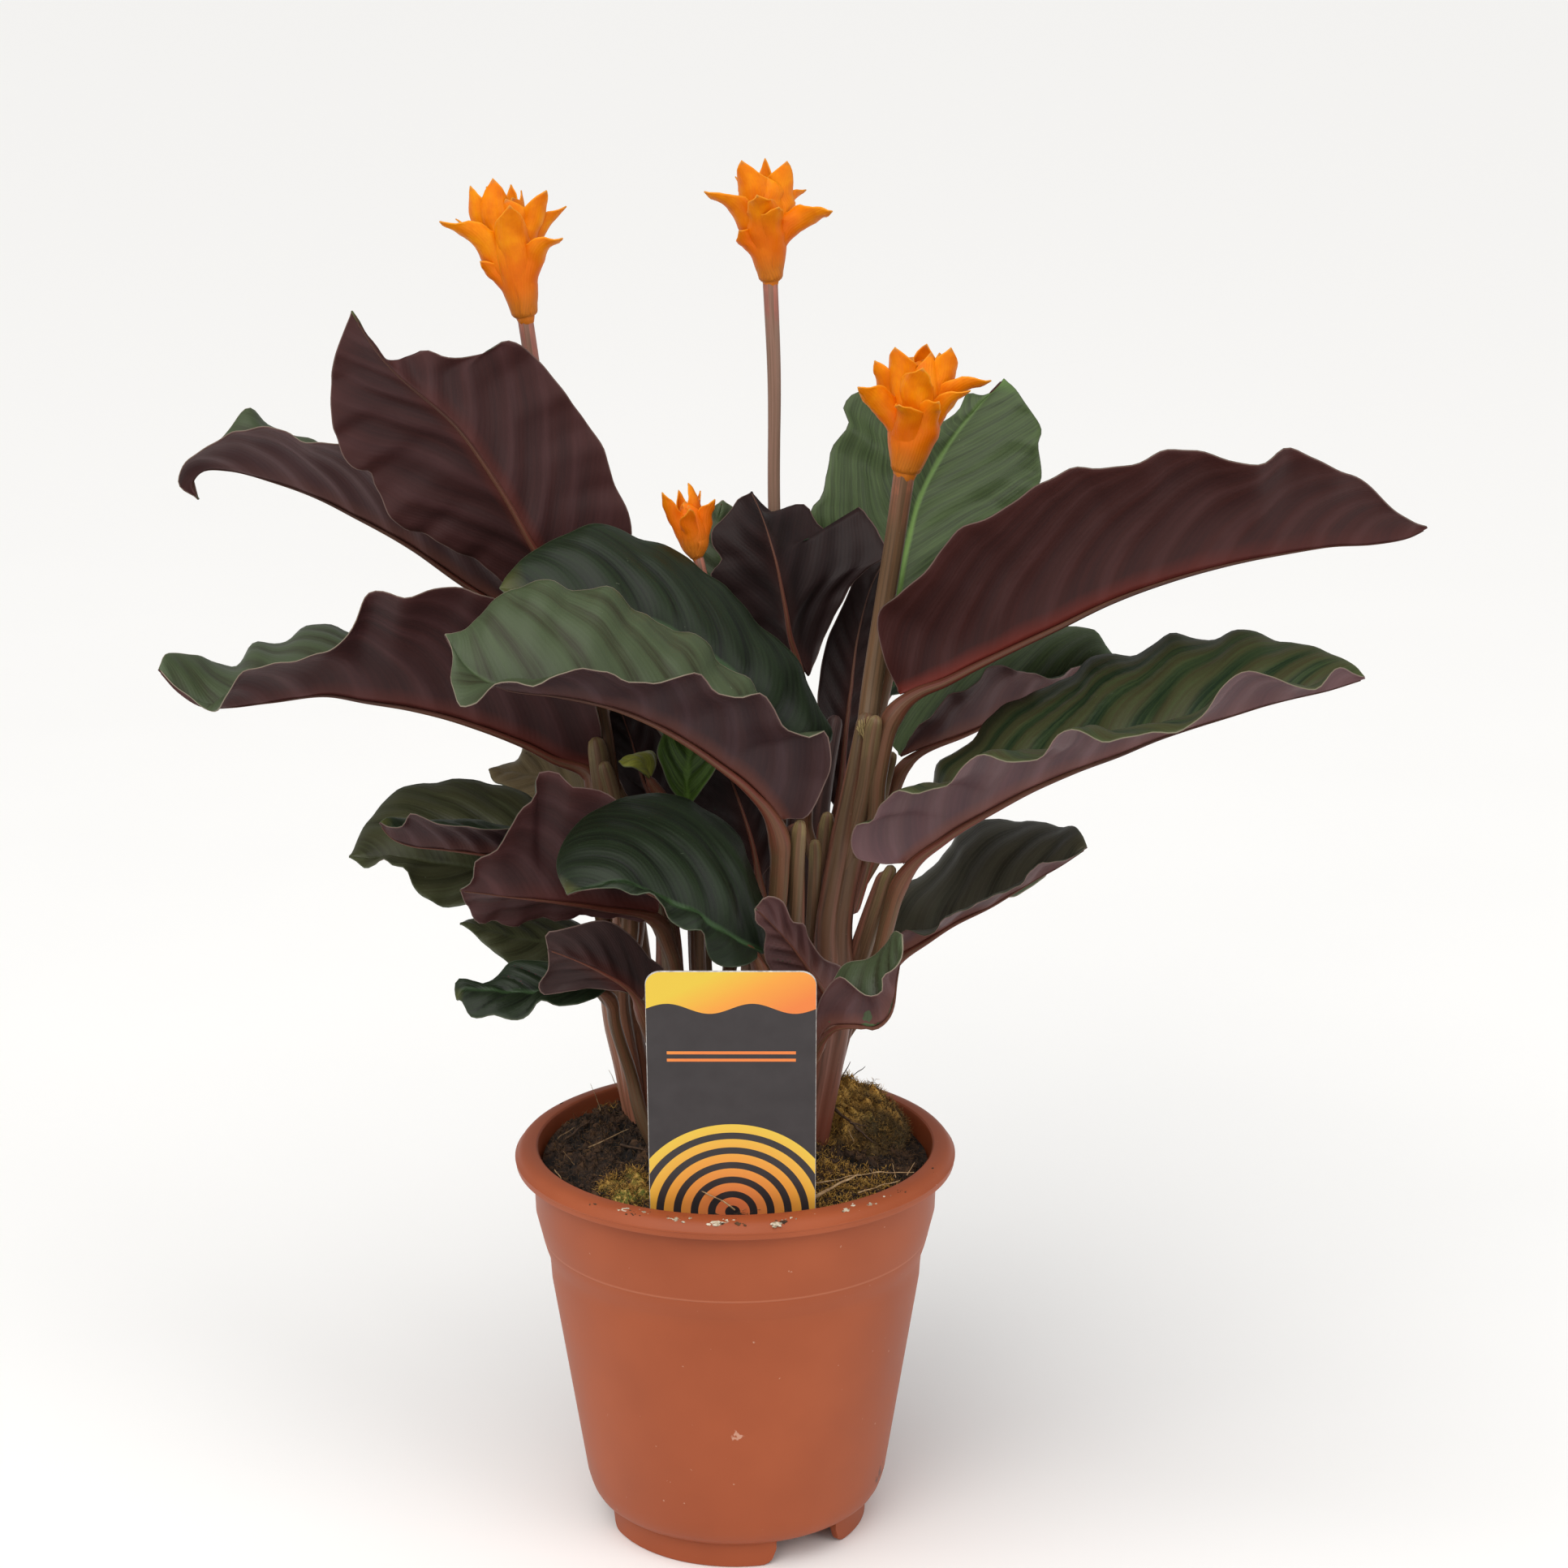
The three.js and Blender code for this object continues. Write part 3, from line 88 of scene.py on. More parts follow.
# Leaves: the midrib and both edges run from base to tip; left and right are as seen on the upper
# side. `bow` arches each half, as a share of its width. `ruffle` (mm) and `waves` set the
# margin's waviness. `upper` and `lower` name the finishes.
LEAVES = {
    "leaf_top_left": dict(
        upper="deep", lower="burgundy", bow=(0.1, 0.1), ruffle=1.2, waves=7,
        mid="""-50,303,-26 -60.6,319.6,-22 -70.4,337.3,-16 -83.2,356,-8 -100.6,371.7,2 -108,381,6
            -113,390,8""",
        left="""-34,310,-34 -31.1,325.3,-34 -36.4,340.5,-32 -40,350.5,-30 -50,365,-24
            -58.8,376.3,-18 -67.5,381.3,-12 -74.9,376.8,-10 -85.2,376.2,-6 -92.3,378.4,-4
            -99.8,374,0 -106,378.5,4 -110,384.5,7""",
        right="""-64,305,-34 -74.7,312,-32 -89.3,320.8,-28 -100,324.8,-24 -107.9,336.6,-20
            -109.7,342.2,-18 -115.8,344.5,-14 -119.3,352.7,-10 -120.2,368.5,-4 -117.3,380,3""",
        stalk="""-38,246,-12,2.7 -39.5,258,-14,2.8 -42,273,-18,2.8 -46,290,-22,2.5
            -50,303,-26,2.4"""),
    "leaf_far_left": dict(
        upper="pale", lower="mauve", bow=(0.1, 0.1), ruffle=1, waves=7,
        mid="""-60,297,-52 -73,303,-54 -83.8,310,-56 -96,318.7,-58 -111.2,327.3,-60
            -125.6,334.5,-60 -140.2,339.5,-60 -152,342.5,-58 -160,342.5,-56 -163.5,338.5,-54
            -161.5,333.5,-52""",
        left="""-66,306,-44 -85,326,-38 -102,340,-36 -119.3,350.5,-36 -131.1,351.5,-38
            -139.8,355.5,-40 -148,354.5,-42 -156,350,-44 -164,346,-46 -167,338.5,-48""",
        right="""-66,312,-70 -85,330,-82 -105,343,-86 -125,350,-84 -139.8,356.8,-80
            -145.5,360.6,-76 -151,355,-70 -158,348,-64 -163,343,-58""",
        stalk="""-42.5,238,-20,2.3 -45,256,-32,2.4 -51,278,-42,2.3 -60,297,-52,2.2"""),
    "leaf_mid_left": dict(
        upper="pale", lower="burgundy", bow=(0.1, 0.08), ruffle=1, waves=8,
        mid="""-43,250.5,-18 -51.4,252.2,-18 -64.2,258.2,-17 -81.3,264.7,-15 -99.7,269.5,-13
            -113,271.5,-12 -125.8,273.3,-12 -142.5,271.1,-12 -154.6,269.4,-12 -163,269.5,-13
            -170,274,-14 -176,281,-16""",
        left="""-40.8,260.8,-10 -43,272,-8 -52,290,-6 -70,302,-3 -86.3,306,6 -99.4,303.9,11
            -110.4,304.6,12 -115.4,295.7,11 -121,288.7,10 -129.2,284,9 -141.8,283.1,8
            -150.3,279.4,6 -156,272,2 -161,267.4,-6 -168.3,273,-12""",
        right="""-52,262,-42 -70,278,-54 -95,290,-60 -115,293,-60 -129.8,294,-56 -140.1,288.8,-52
            -145.8,288.8,-48 -151.8,282.7,-44 -159.4,283.4,-38 -168.8,286,-28 -174,285.5,-20""",
        stalk="""-42.8,238,-12,2.3 -43.4,245,-16,2.4 -43,250.5,-18,2.3"""),
    "leaf_back_arching": dict(
        upper="deep", lower="burgundy", bow=(0.08, 0.1), ruffle=0.8, waves=6,
        mid="""20,246,-2 14,262,1 0,280,5 -22,295,7 -46,302,8 -71,306,5""",
        left="""8,246,8 -10,262,14 -30,276,17 -50,288,16 -64,298,12""",
        right="""30,259.5,-8 26.2,269,-10 19.2,283.7,-12 7.8,295.6,-14 -6.8,310.1,-15 -16.3,317,-15
            -26.4,320.5,-15 -38.9,326,-14 -50.3,322.8,-10 -60.3,318,-5 -68.9,309.5,1""",
        stalk="""22.5,230,-6,2.2 22,238,-4,2.3 20,246,-2,2.2"""),
    "leaf_front_arching": dict(
        upper="pale", lower="plum", bow=(0.1, 0.1), ruffle=1, waves=9,
        mid="""15,233.5,36 8.9,241,38 -3,251,42 -19.9,262.1,46 -37.5,269.6,49 -55.7,273.2,51
            -70,275,50 -81,281,46 -88,291.7,42""",
        left="""22,234,40 27.5,243,44 30.2,252,48 28,260.6,52 23.4,259.1,54 15.2,263.8,57
            8.9,272.6,60 3,273,62 -5,273.2,63 -12.5,279.7,65 -20.7,277.8,66 -30,275.5,67
            -40,281.3,68 -49.4,279.7,69 -60.1,276.8,70 -71.5,276.1,68 -80,270.3,64 -84.2,269.6,60
            -86.5,277.8,52 -85.5,285,46""",
        right="""14,248,28 10,262,24 6.8,275.2,22 -2.9,282.3,21 -10.9,291,20 -23.4,295.2,20
            -31.5,301,21 -35.9,305.5,22 -49.5,306,24 -57.6,308.7,25 -70.1,304.3,28 -77.2,297.8,32
            -82.3,293,37""",
        stalk="""13.5,196,30,2.8 14.2,216,33,3 15,233.5,36,2.7"""),
    "leaf_centre": dict(
        upper="deep", lower="shade", bow=(0.12, 0.12), ruffle=0.8, waves=5,
        mid="""23,279,-32 18.5,286.6,-30 16,300,-27 13,315,-28 9,328,-36 5.6,335.6,-46""",
        left="""28.4,291.7,-36 34.7,304.9,-38 42.8,313.5,-38 46.9,316.7,-40 44.7,321.8,-42
            42.5,326.6,-45 37.5,331,-49 35,325.4,-47 31.5,323.9,-47 27.8,324.8,-48 25,326.6,-49
            22.2,331.2,-50 17.2,331,-50 12.5,329.6,-50 9.7,331.4,-49""",
        right="""12,290,-34 0,301,-36 -6.6,309.7,-37 -3.8,314.8,-38 -6.4,319.9,-40 -5.4,324.5,-43
            -1.5,329.4,-46 1.5,333,-48""",
        stalk="""20.5,215,-14,2.4 21.5,240,-20,2.4 22.3,262,-28,2.3 23,279,-32,2.2"""),
    "leaf_small_back": dict(
        upper="pale", lower="burgundy", bow=(0.05, 0.05), ruffle=0.3, waves=3,
        mid="""4,300,-52 -2,312,-54 -5,322,-57 -3.1,333,-60""",
        left="""-4,302,-54 -11,312,-56 -11.5,322,-59 -8,329,-61""",
        right="""6,312,-58 5,322,-61 1,330,-62""",
        stalk="""6,118,-14,3.2 9,160,-16,3 9.5,205,-22,2.8 9,235,-30,2.4 7,270,-44,2
            4,300,-52,1.7"""),
    "leaf_upper_right": dict(
        upper="veined", lower="burgundy", bow=(0.06, 0.06), ruffle=1.2, waves=6,
        mid="""50.1,302,-60 53.1,320,-70 57,335,-80 65,350,-88 74,362,-92 81.2,369.8,-94""",
        left="""38.9,309.3,-60 28,318,-62 23.3,329.8,-64 26.1,333.2,-66 29.2,342.7,-68 30.1,349,-72
            34.5,356.5,-74 33.7,362,-78 38.7,366,-80 45.5,357.1,-82 52,353,-86 60,355,-90
            67.7,360,-92 70.5,366,-96 75.1,363.6,-97 78.6,363.4,-97""",
        right="""62,308,-64 76,318,-70 86,328,-74 92.8,338.9,-78 92.1,349.7,-82 92.7,354.9,-85
            87.6,362.6,-89 84.5,367,-92""",
        stalk="""20,118,-22,3.2 28,160,-28,3 35,210,-39,2.8 42,255,-57,2.6 48,284,-63,2.4
            50.1,302,-60,2.3"""),
    "leaf_top_right": dict(
        upper="deep", lower="wine", bow=(0.1, 0.12), ruffle=1, waves=8,
        mid="""51,273.5,8 62.3,277.4,10 81.1,286.5,13 98,294.6,16 115.4,302.9,18 131.9,309,20
            150.5,314.1,20 166.2,317,19 181.2,319.5,17 194,320.2,14 204,322,11 210,325,9""",
        left="""60,284,-22 78,300,-38 98,314,-46 120,323,-48 145,328,-44 168,331,-34 188,331,-18
            202,328,-2""",
        right="""46.1,284.5,14 44.3,297.5,20 50.2,304.6,25 60.2,312.8,30 68.7,324.9,35
            81.1,329.3,38 93.4,338.7,41 102,342.9,42 110,342.4,42 118.8,343.5,42 129.8,348.5,42
            138,347.9,41 149.5,345.5,40 159,344.4,39 167,348.4,37 174.7,346,34 184,342,30
            191.2,338.1,26 199,331,20 206,326.5,14""",
        stalk="""43,230,13,2.4 44.6,246,12,2.7 46.8,260,10,2.9 49,269,8.5,2.7 51,273.5,8,2.5"""),
    "leaf_mid_right_back": dict(
        upper="veined", lower="mauve", bow=(0.1, 0.1), ruffle=0.8, waves=6,
        mid="""51.4,253.6,-14 60.5,257.5,-15 69.3,260.4,-19 80,265.5,-26 95,273,-34 108,281,-40
            115.8,285.6,-42""",
        left="""47.8,259.2,-24 50.5,268,-34 62,280,-46 80,289,-56 98.3,294.6,-60 110.1,292.9,-56
            114,288,-50""",
        right="""54.3,259.2,-6 60.5,266.3,-4 64.9,271.6,-6 71.2,274.4,-8 77.4,280.6,-12
            82,281.9,-15 91,279.4,-22 99.1,278.5,-28 106,282,-34 112,285,-39""",
        stalk="""46.5,226,-14,2 48.6,238,-14,2.1 50.2,247,-14,2.1 51.4,253.6,-14,2"""),
    "leaf_long_right": dict(
        upper="banded", lower="dusty", bow=(0.08, 0.12), ruffle=0.8, waves=9,
        mid="""52.5,219.5,22 58,223.5,23 70,231.5,25 90,243,28 105,249.5,30 118.5,254.5,32
            131.8,260.1,34 153.9,267,36 170,271.8,36 183,275,35 193.5,278.3,33""",
        left="""56,230,4 61,241,-4 63.8,251.5,-10 73.8,258.8,-12 83.2,270.2,-13 93.3,273.3,-13
            102.1,278.3,-13 109.6,284.4,-12 122.7,285.8,-10 134,291.4,-8 145,290.4,-3 157.2,292.9,3
            168,289.5,9 180.4,287,18 190,282,27""",
        right="""44,219.2,28 38,221,31 36.3,227,33 38,231.2,36 42.5,232,38 46,239,42 50,242.6,45
            57,241,48 65,243.8,50 71.5,251.4,52 75,253.3,52 84,251.7,52 95,254,53 101.3,260.4,54
            104.4,261.5,54 114,258.8,55 126.8,259.8,55 139.3,263.2,55 146.8,269.2,54 151.8,277.7,53
            158.1,280.8,51 165.8,277.6,50 178,275,47 185.3,281.2,42 190,279.5,37""",
        stalk="""44.4,186,18,2.3 48,200,21,2.5 50.4,209.5,22,2.4 52.5,219.5,22,2.3"""),
    "leaf_low_right": dict(
        upper="grey", lower="mauve", bow=(0.1, 0.05), ruffle=0.7, waves=6,
        mid="""49,189,-14 56,192.5,-13 68,200,-12 80,206,-11 92.5,213.5,-11 101,218.5,-12
            109.5,224.5,-14""",
        left="""48,202,-26 51,209.5,-32 58,215.3,-38 66,222,-42 70,229.5,-44 80,233,-44
            91,232.7,-40 101,231,-32 105.5,231,-26 108.5,227.5,-18""",
        right="""53,197,-4 60,196,0 67,201.5,4 71,204.3,5 79,206.9,5 85,210.8,4 90,212.4,2
            94.5,219.4,-2 101,219.3,-7 107,222.5,-12""",
        stalk="""28,150,-18,2.4 40,172,-18,2.4 49,189,-14,2.2"""),
    "leaf_low_front_a": dict(
        upper="pale", lower="mauve", bow=(0.1, 0.1), ruffle=0.4, waves=3,
        mid="""31,172,28 24,184,36 15,196,45 6.5,204.5,50""",
        left="""34,184.3,30 28,188,36 23.3,195,41 22,199.3,44 18.5,200.2,46 15,207,49
            10,208.2,51""",
        right="""22,172,31 13,182,37 9.3,190,44 9.8,197,47 6.5,200.5,50""",
        stalk="""15,140,24,2.2 20,156,32,2.2 31,172,38,2"""),
    "leaf_low_front_b": dict(
        upper="pale", lower="mauve", bow=(0.1, 0.1), ruffle=0.4, waves=3,
        mid="""26,160,46 30,166,49 38,166.6,52 44,165.8,53 48.5,170,54 50.3,180,54 52.6,196,51""",
        left="""28,172,43 34,186,40 42,188,41 47,192.5,43 50.5,197,46""",
        right="""25.5,168,48 28,177,52 33,182,56 36.5,179.6,58 42,175.8,60 46,177,60 46.8,182,60
            50.3,184.3,59 52.6,189,55""",
        stalk="""18,138,22,2.2 22,150,34,2.2 26,160,44,2"""),
    "leaf_front_round": dict(
        upper="deep", lower="burgundy", bow=(0.05, 0.12), ruffle=0.6, waves=5,
        mid="""9,190.5,38 -1,195.4,48 -6,198.6,54 -13,203.6,59 -23,208,64 -34,213,66 -44,212,65
            -52,209,62""",
        left="""5.5,187,46 0,185.4,55 -6,186.7,58 -9.4,191,60 -9.6,197.3,62 -15,197.6,64 -20,200,66
            -22.2,206,68 -25,209.5,69 -31,208.6,69 -38,211.5,68 -46,210.6,66""",
        right="""10,199,34 8.6,209,30 4,221,28 -1,231,28 -9,237,28 -20,241.2,30 -31,241.2,32
            -40,237.5,35 -49,232,40 -54,224,46 -55,216,54""",
        stalk="""5,150,26,2.3 8,172,35,2.3 9,190.5,44,2.1"""),
    "leaf_low_left": dict(
        upper="dusk", lower="mauve", bow=(0.06, 0.1), ruffle=0.8, waves=6,
        mid="""-41.5,208,-16 -55,213,-16 -72,216,-14 -84,218.2,-12 -100,220.4,-10 -112,221,-9
            -119.7,221.2,-10""",
        left="""-48,203.5,-8 -60,202.5,-4 -75,203.5,0 -84,206,2 -90,205,2 -95,206.4,2 -99.5,211,2
            -101.8,216.6,1 -106,218,0 -109.5,220.8,-2 -114.5,217.4,-5 -117.5,219.6,-8""",
        right="""-46,222,-28 -58,236,-34 -68,243,-36 -80,245.7,-37 -92,245.3,-36 -99.5,244.3,-34
            -107,240.3,-31 -112,234.5,-26 -116,228.5,-20 -118.3,223.5,-14""",
        stalk="""-40.5,197,-14,2 -41.5,208,-16,1.9"""),
    "leaf_rolled_left": dict(
        upper="deep", lower="plum", bow=(0.12, 0.1), ruffle=0.3, waves=5,
        mid="""-48,216,8 -62,220,12 -78,222.5,15 -90,224,17 -100,225,18 -106,227.5,18
            -109.7,232.2,17""",
        left="""-52,222,16 -66,229.5,21 -78,230.4,23 -90,231.6,24 -96,233.6,24 -100.3,235,24
            -103,231.2,22 -107,230.8,20""",
        right="""-56,226,0 -70,231,-2 -85,233.4,0 -95,233,4 -103,233.6,9 -108,233.6,14""",
        stalk="""-40.5,196,0,1.9 -43,207,4,1.9 -48,216,8,1.7"""),
    "leaf_lower_left": dict(
        upper="deep", lower="burgundy", bow=(0.12, 0.08), ruffle=0.8, waves=6,
        mid="""-24,203.5,18 -40,205,24 -55,207,29 -70,208.6,32 -79,209.8,32 -85.3,210.5,31""",
        left="""-22,215,22 -26,230,27 -37,240,31 -45,243.5,34 -50,244.2,36 -54,248,38
            -60.8,247.6,39 -61.3,241.5,40 -66,236.5,41 -69.6,230,42 -74,223.6,41 -80.4,219.9,39
            -81.6,213.5,36""",
        right="""-30,200.5,12 -42,202,13 -51,201.3,14 -60,200.8,15 -66,200.4,16 -71,198.5,18
            -76,200.5,20 -80.5,200.2,22 -83.6,206,26""",
        stalk="""-19,186,10,2.4 -22,196,14,2.4 -24,203.5,18,2.2"""),
    "leaf_back_left": dict(
        upper="olive", lower="burgundy", bow=(0.06, 0.06), ruffle=0.4, waves=4,
        mid="""-44,239,-46 -54,244.5,-54 -64,248,-60 -75.5,249.3,-64""",
        left="""-50,235,-44 -60,238.5,-50 -70,243.5,-56 -74.6,246,-61""",
        right="""-46,250,-60 -55,258,-68 -63.6,259,-71 -66,253,-70 -71,250.6,-68""",
        stalk="""-38.5,210,-20,2 -41.5,226,-34,2 -44,239,-46,1.8"""),
    "leaf_base_left_a": dict(
        upper="deep", lower="half_shade", bow=(0.12, 0.12), ruffle=0.3, waves=4,
        mid="""-30,174,34 -36,180,40 -45,185.5,45 -53,189,46 -58.4,191,46""",
        left="""-22,184,30 -27,188.5,32 -33,196,36 -41,200.6,40 -50,198.7,43 -55,197.4,45
            -59,196.4,46""",
        right="""-33,176.5,38 -43,178,41 -52,177.5,43 -60,176.3,44 -61.6,179.5,45
            -58.6,184.5,46""",
        stalk="""-20,146,12,2.2 -26,161,24,2.2 -30,174,34,2"""),
    "leaf_base_left_b": dict(
        upper="dusk", lower="burgundy", bow=(0.08, 0.08), ruffle=0.4, waves=4,
        mid="""-41,191,6 -52,193.5,8 -64,194.5,10 -76,197.5,11 -85.6,199.6,11""",
        left="""-47,185,12 -56,182.8,15 -64,182.6,17 -71,186.5,18 -76.5,191.5,17 -80,194.6,15
            -83,197.6,13""",
        right="""-46,198,-4 -56,202,-8 -68,202.5,-6 -78,201.4,0 -83.6,200.6,6""",
        stalk="""-43,180,0,2 -41,191,6,1.8"""),
    "leaf_base_left_c": dict(
        upper="deep", lower="burgundy", bow=(0.08, 0.08), ruffle=0.4, waves=4,
        mid="""-38,180,26 -52,178,28 -66,177,30 -78,177.6,31 -84.5,178,31 -87.3,174.5,32""",
        left="""-46,174,34 -56,173,37 -61.4,174,38 -64.5,170,40 -70,167.8,41 -76,169.2,40
            -83,169,38 -85.8,174,35""",
        right="""-46,185,25 -58,187,24 -70,187.2,24 -74,182.6,24 -79,179.9,25 -87.2,181,28
            -88,177,30""",
        stalk="""-33,150,6,2.1 -38,168,16,2 -38,180,26,1.8"""),
    "leaf_new_yellow": dict(
        upper="new", lower="burgundy", bow=(0.05, 0.05), ruffle=0, waves=2,
        mid="""-26,246,6 -27,250.5,8 -30,252.6,10 -35.5,251.8,10""",
        left="""-28,248,11 -31,250,13 -34,250.2,12""",
        right="""-23.8,251.5,2 -25,255,0 -30,254.3,3 -34,253,7""",
        stalk="""-16,228,4,1.8 -22,240,5,1.8 -26,246,6,1.6"""),
    "leaf_new_rolled": dict(
        upper="fresh", lower="burgundy", bow=(-0.1, -0.1), ruffle=0, waves=2,
        mid="""-14,237,4 -14.5,246,6 -13.5,256,5 -13,266,0""",
        left="""-19.5,243.5,10 -22,250,12 -23.5,255,11 -20,263,6""",
        right="""-9.5,243.5,10 -5.5,250,12 -3.5,257,10 -8,264,5"""),
    "leaf_behind_stems": dict(
        upper="deep", lower="shade", bow=(0.12, 0.12), ruffle=0.3, waves=4,
        mid="""32,236,-26 34,255,-32 36,272,-38 38,290,-46 42,306,-52 48,318,-60""",
        left="""38,248,-32 41,268,-40 46,284,-47 49,300,-54 50,311,-58""",
        right="""27,246,-28 26.5,262,-36 26,274,-43 28.5,289,-50 33.5,301,-54 40,313,-58""",
        stalk="""27,205,-18,2.3 30,220,-22,2.3 32,236,-26,2.1"""),
    "leaf_inner_dark": dict(
        upper="deep", lower="shade", bow=(0.1, 0.1), ruffle=0.3, waves=3,
        mid="""-20,230,-12 -27,244,-15 -31,258,-20 -36,272,-28""",
        left="""-15,242,-16 -20,256,-20 -27,266,-26""",
        right="""-33,241,-20 -38,254,-26 -39,264,-29""",
        stalk="""-15,212,-8,2 -20,230,-12,1.8"""),
    "leaf_rear_left": dict(
        upper="banded", lower="burgundy", bow=(0.1, 0.1), ruffle=1, waves=6,
        mid="""-12,236,-36 -26,258,-62 -44,277,-92 -60,288,-122 -70,288,-146""",
        left="""-24,240,-40 -42,254,-68 -62,268,-100 -74,280,-130""",
        right="""-8,262,-60 -26,286,-92 -46,300,-120 -62,298,-142""",
        stalk="""-10,200,-16,2.3 -12,218,-26,2.2 -12,236,-36,2"""),
    "leaf_rear_right": dict(
        upper="deep", lower="wine", bow=(0.1, 0.1), ruffle=1, waves=6,
        mid="""45,272,-74 62,290,-94 82,304,-114 102,313,-136 116,315,-152""",
        left="""46,286,-92 62,306,-114 82,319,-136 102,322,-150""",
        right="""60,276,-82 84,290,-98 108,302,-122 118,310,-142""",
        stalk="""28,200,-34,2.4 34,235,-52,2.3 40,262,-66,2.2 45,272,-74,2.1"""),
    "leaf_rear_low": dict(
        upper="banded", lower="burgundy", bow=(0.1, 0.1), ruffle=0.8, waves=6,
        mid="""0,196,-28 -5,214,-58 -12,224,-90 -18,222,-120 -20,216,-138""",
        left="""-14,206,-40 -30,218,-70 -38,222,-102 -30,218,-130""",
        right="""6,212,-44 8,226,-72 2,230,-104 -10,222,-130""",
        stalk="""-3,160,-14,2.3 -2,180,-20,2.2 0,196,-28,2"""),
    "leaf_rear_low_right": dict(
        upper="pale", lower="burgundy", bow=(0.1, 0.1), ruffle=0.8, waves=5,
        mid="""34,176,-42 48,198,-64 66,211,-86 86,219,-108 96,222,-120""",
        left="""40,196,-60 56,213,-84 76,224,-104 90,226,-116""",
        right="""52,192,-54 70,202,-74 90,210,-98 98,217,-114""",
        stalk="""24,130,-34,2.3 29,155,-38,2.2 34,176,-42,2"""),
    "leaf_inner_right": dict(
        upper="deep", lower="shade", bow=(0.1, 0.1), ruffle=0.3, waves=3,
        mid="""8,214,-2 5,228,-4 0,244,-10 -7,262,-20""",
        left="""14,224,-8 12,240,-12 4,256,-18""",
        right="""-6,224,-6 -14,238,-11 -14,254,-17""",
        stalk="""9,190,6,2 9,202,2,2 8,214,-2,1.8"""),
}
# Middle lines of the shoots, from below the soil up, with their radii.
SHOOTS = {
    "shoot_left": """-28,118,-18,5.2 -32.5,150,-14,5.6 -36.5,178,-10,6.2 -33,200,-8,5.6
        -34.5,222,-8,4.8 -37,240,-10,3.8""",
    "shoot_mid_left": """-13,118,0,4.2 -17,150,2,4.6 -20,178,4,5 -20.5,193,4,4.6
        -21.5,206,4,3.4""",
    "shoot_middle": """-6,118,-6,3.6 -10,155,-4,3.4 -11.8,185,-2,2.9 -12.4,210,0,2.8
        -13.6,232,3,2.6""",
    "shoot_front_right": """8,118,14,5.2 12,150,17,5.8 16,180,21,5.4 18,205,25,4.6 19,229,29,3""",
    "shoot_mid_right": """16,118,-12,4.2 21,160,-8,4.2 25,195,-4,3.9 27,215,-2,3.2 28,231,0,2.4""",
    "shoot_right": """22,118,6,6 25.5,140,6,6.2 28,155,7,6.5 30,170,8,6.7 30.5,185,9,6.7
        30.5,200,9,6.2 34.5,225,8,6 38.5,250,6,4.8 40.5,264,4,3.4""",
    "shoot_far_right": """26,118,-14,3.8 30,150,-10,4.2 36,176,0,4.4 40.5,192,8,4.5 43.8,204,12,4.1
        46.8,214,15,2.9""",
    "shoot_right_small": """37,205,-6,2.4 42,225,-8,3 45.5,240,-9,2.6 47.8,250,-10,1.9""",
}
# The same for the flower stalks.
FLOWER_STALKS = {
    "flower_stalk_left": """-20,118,-22,2.8 -30,200,-26,2.7 -36,250,-32,2.5 -43,285,-40,2.4
        -49,315,-45,2.4 -54,340,-42,2.4 -58.4,365,-38,2.4 -61.5,387.5,-34,2.4""",
    "flower_stalk_centre": """10,118,-24,2.8 15,210,-30,2.6 15,260,-42,2.3 13.4,300,-52,2.1
        12.5,335,-60,2 12.6,370,-61,2 11.5,398,-60,2.4""",
    "flower_stalk_right": """41,262,2,3.2 42.5,275,-2,3.2 46,300,-6,3.1 49,320,-6,3.1
        51.8,341,-4,3.3""",
    "flower_stalk_small": """2,118,-10,2.2 4,220,-18,2 1,260,-24,1.8 -5,290,-26,1.7
        -10.4,315,-22,1.7""",
}
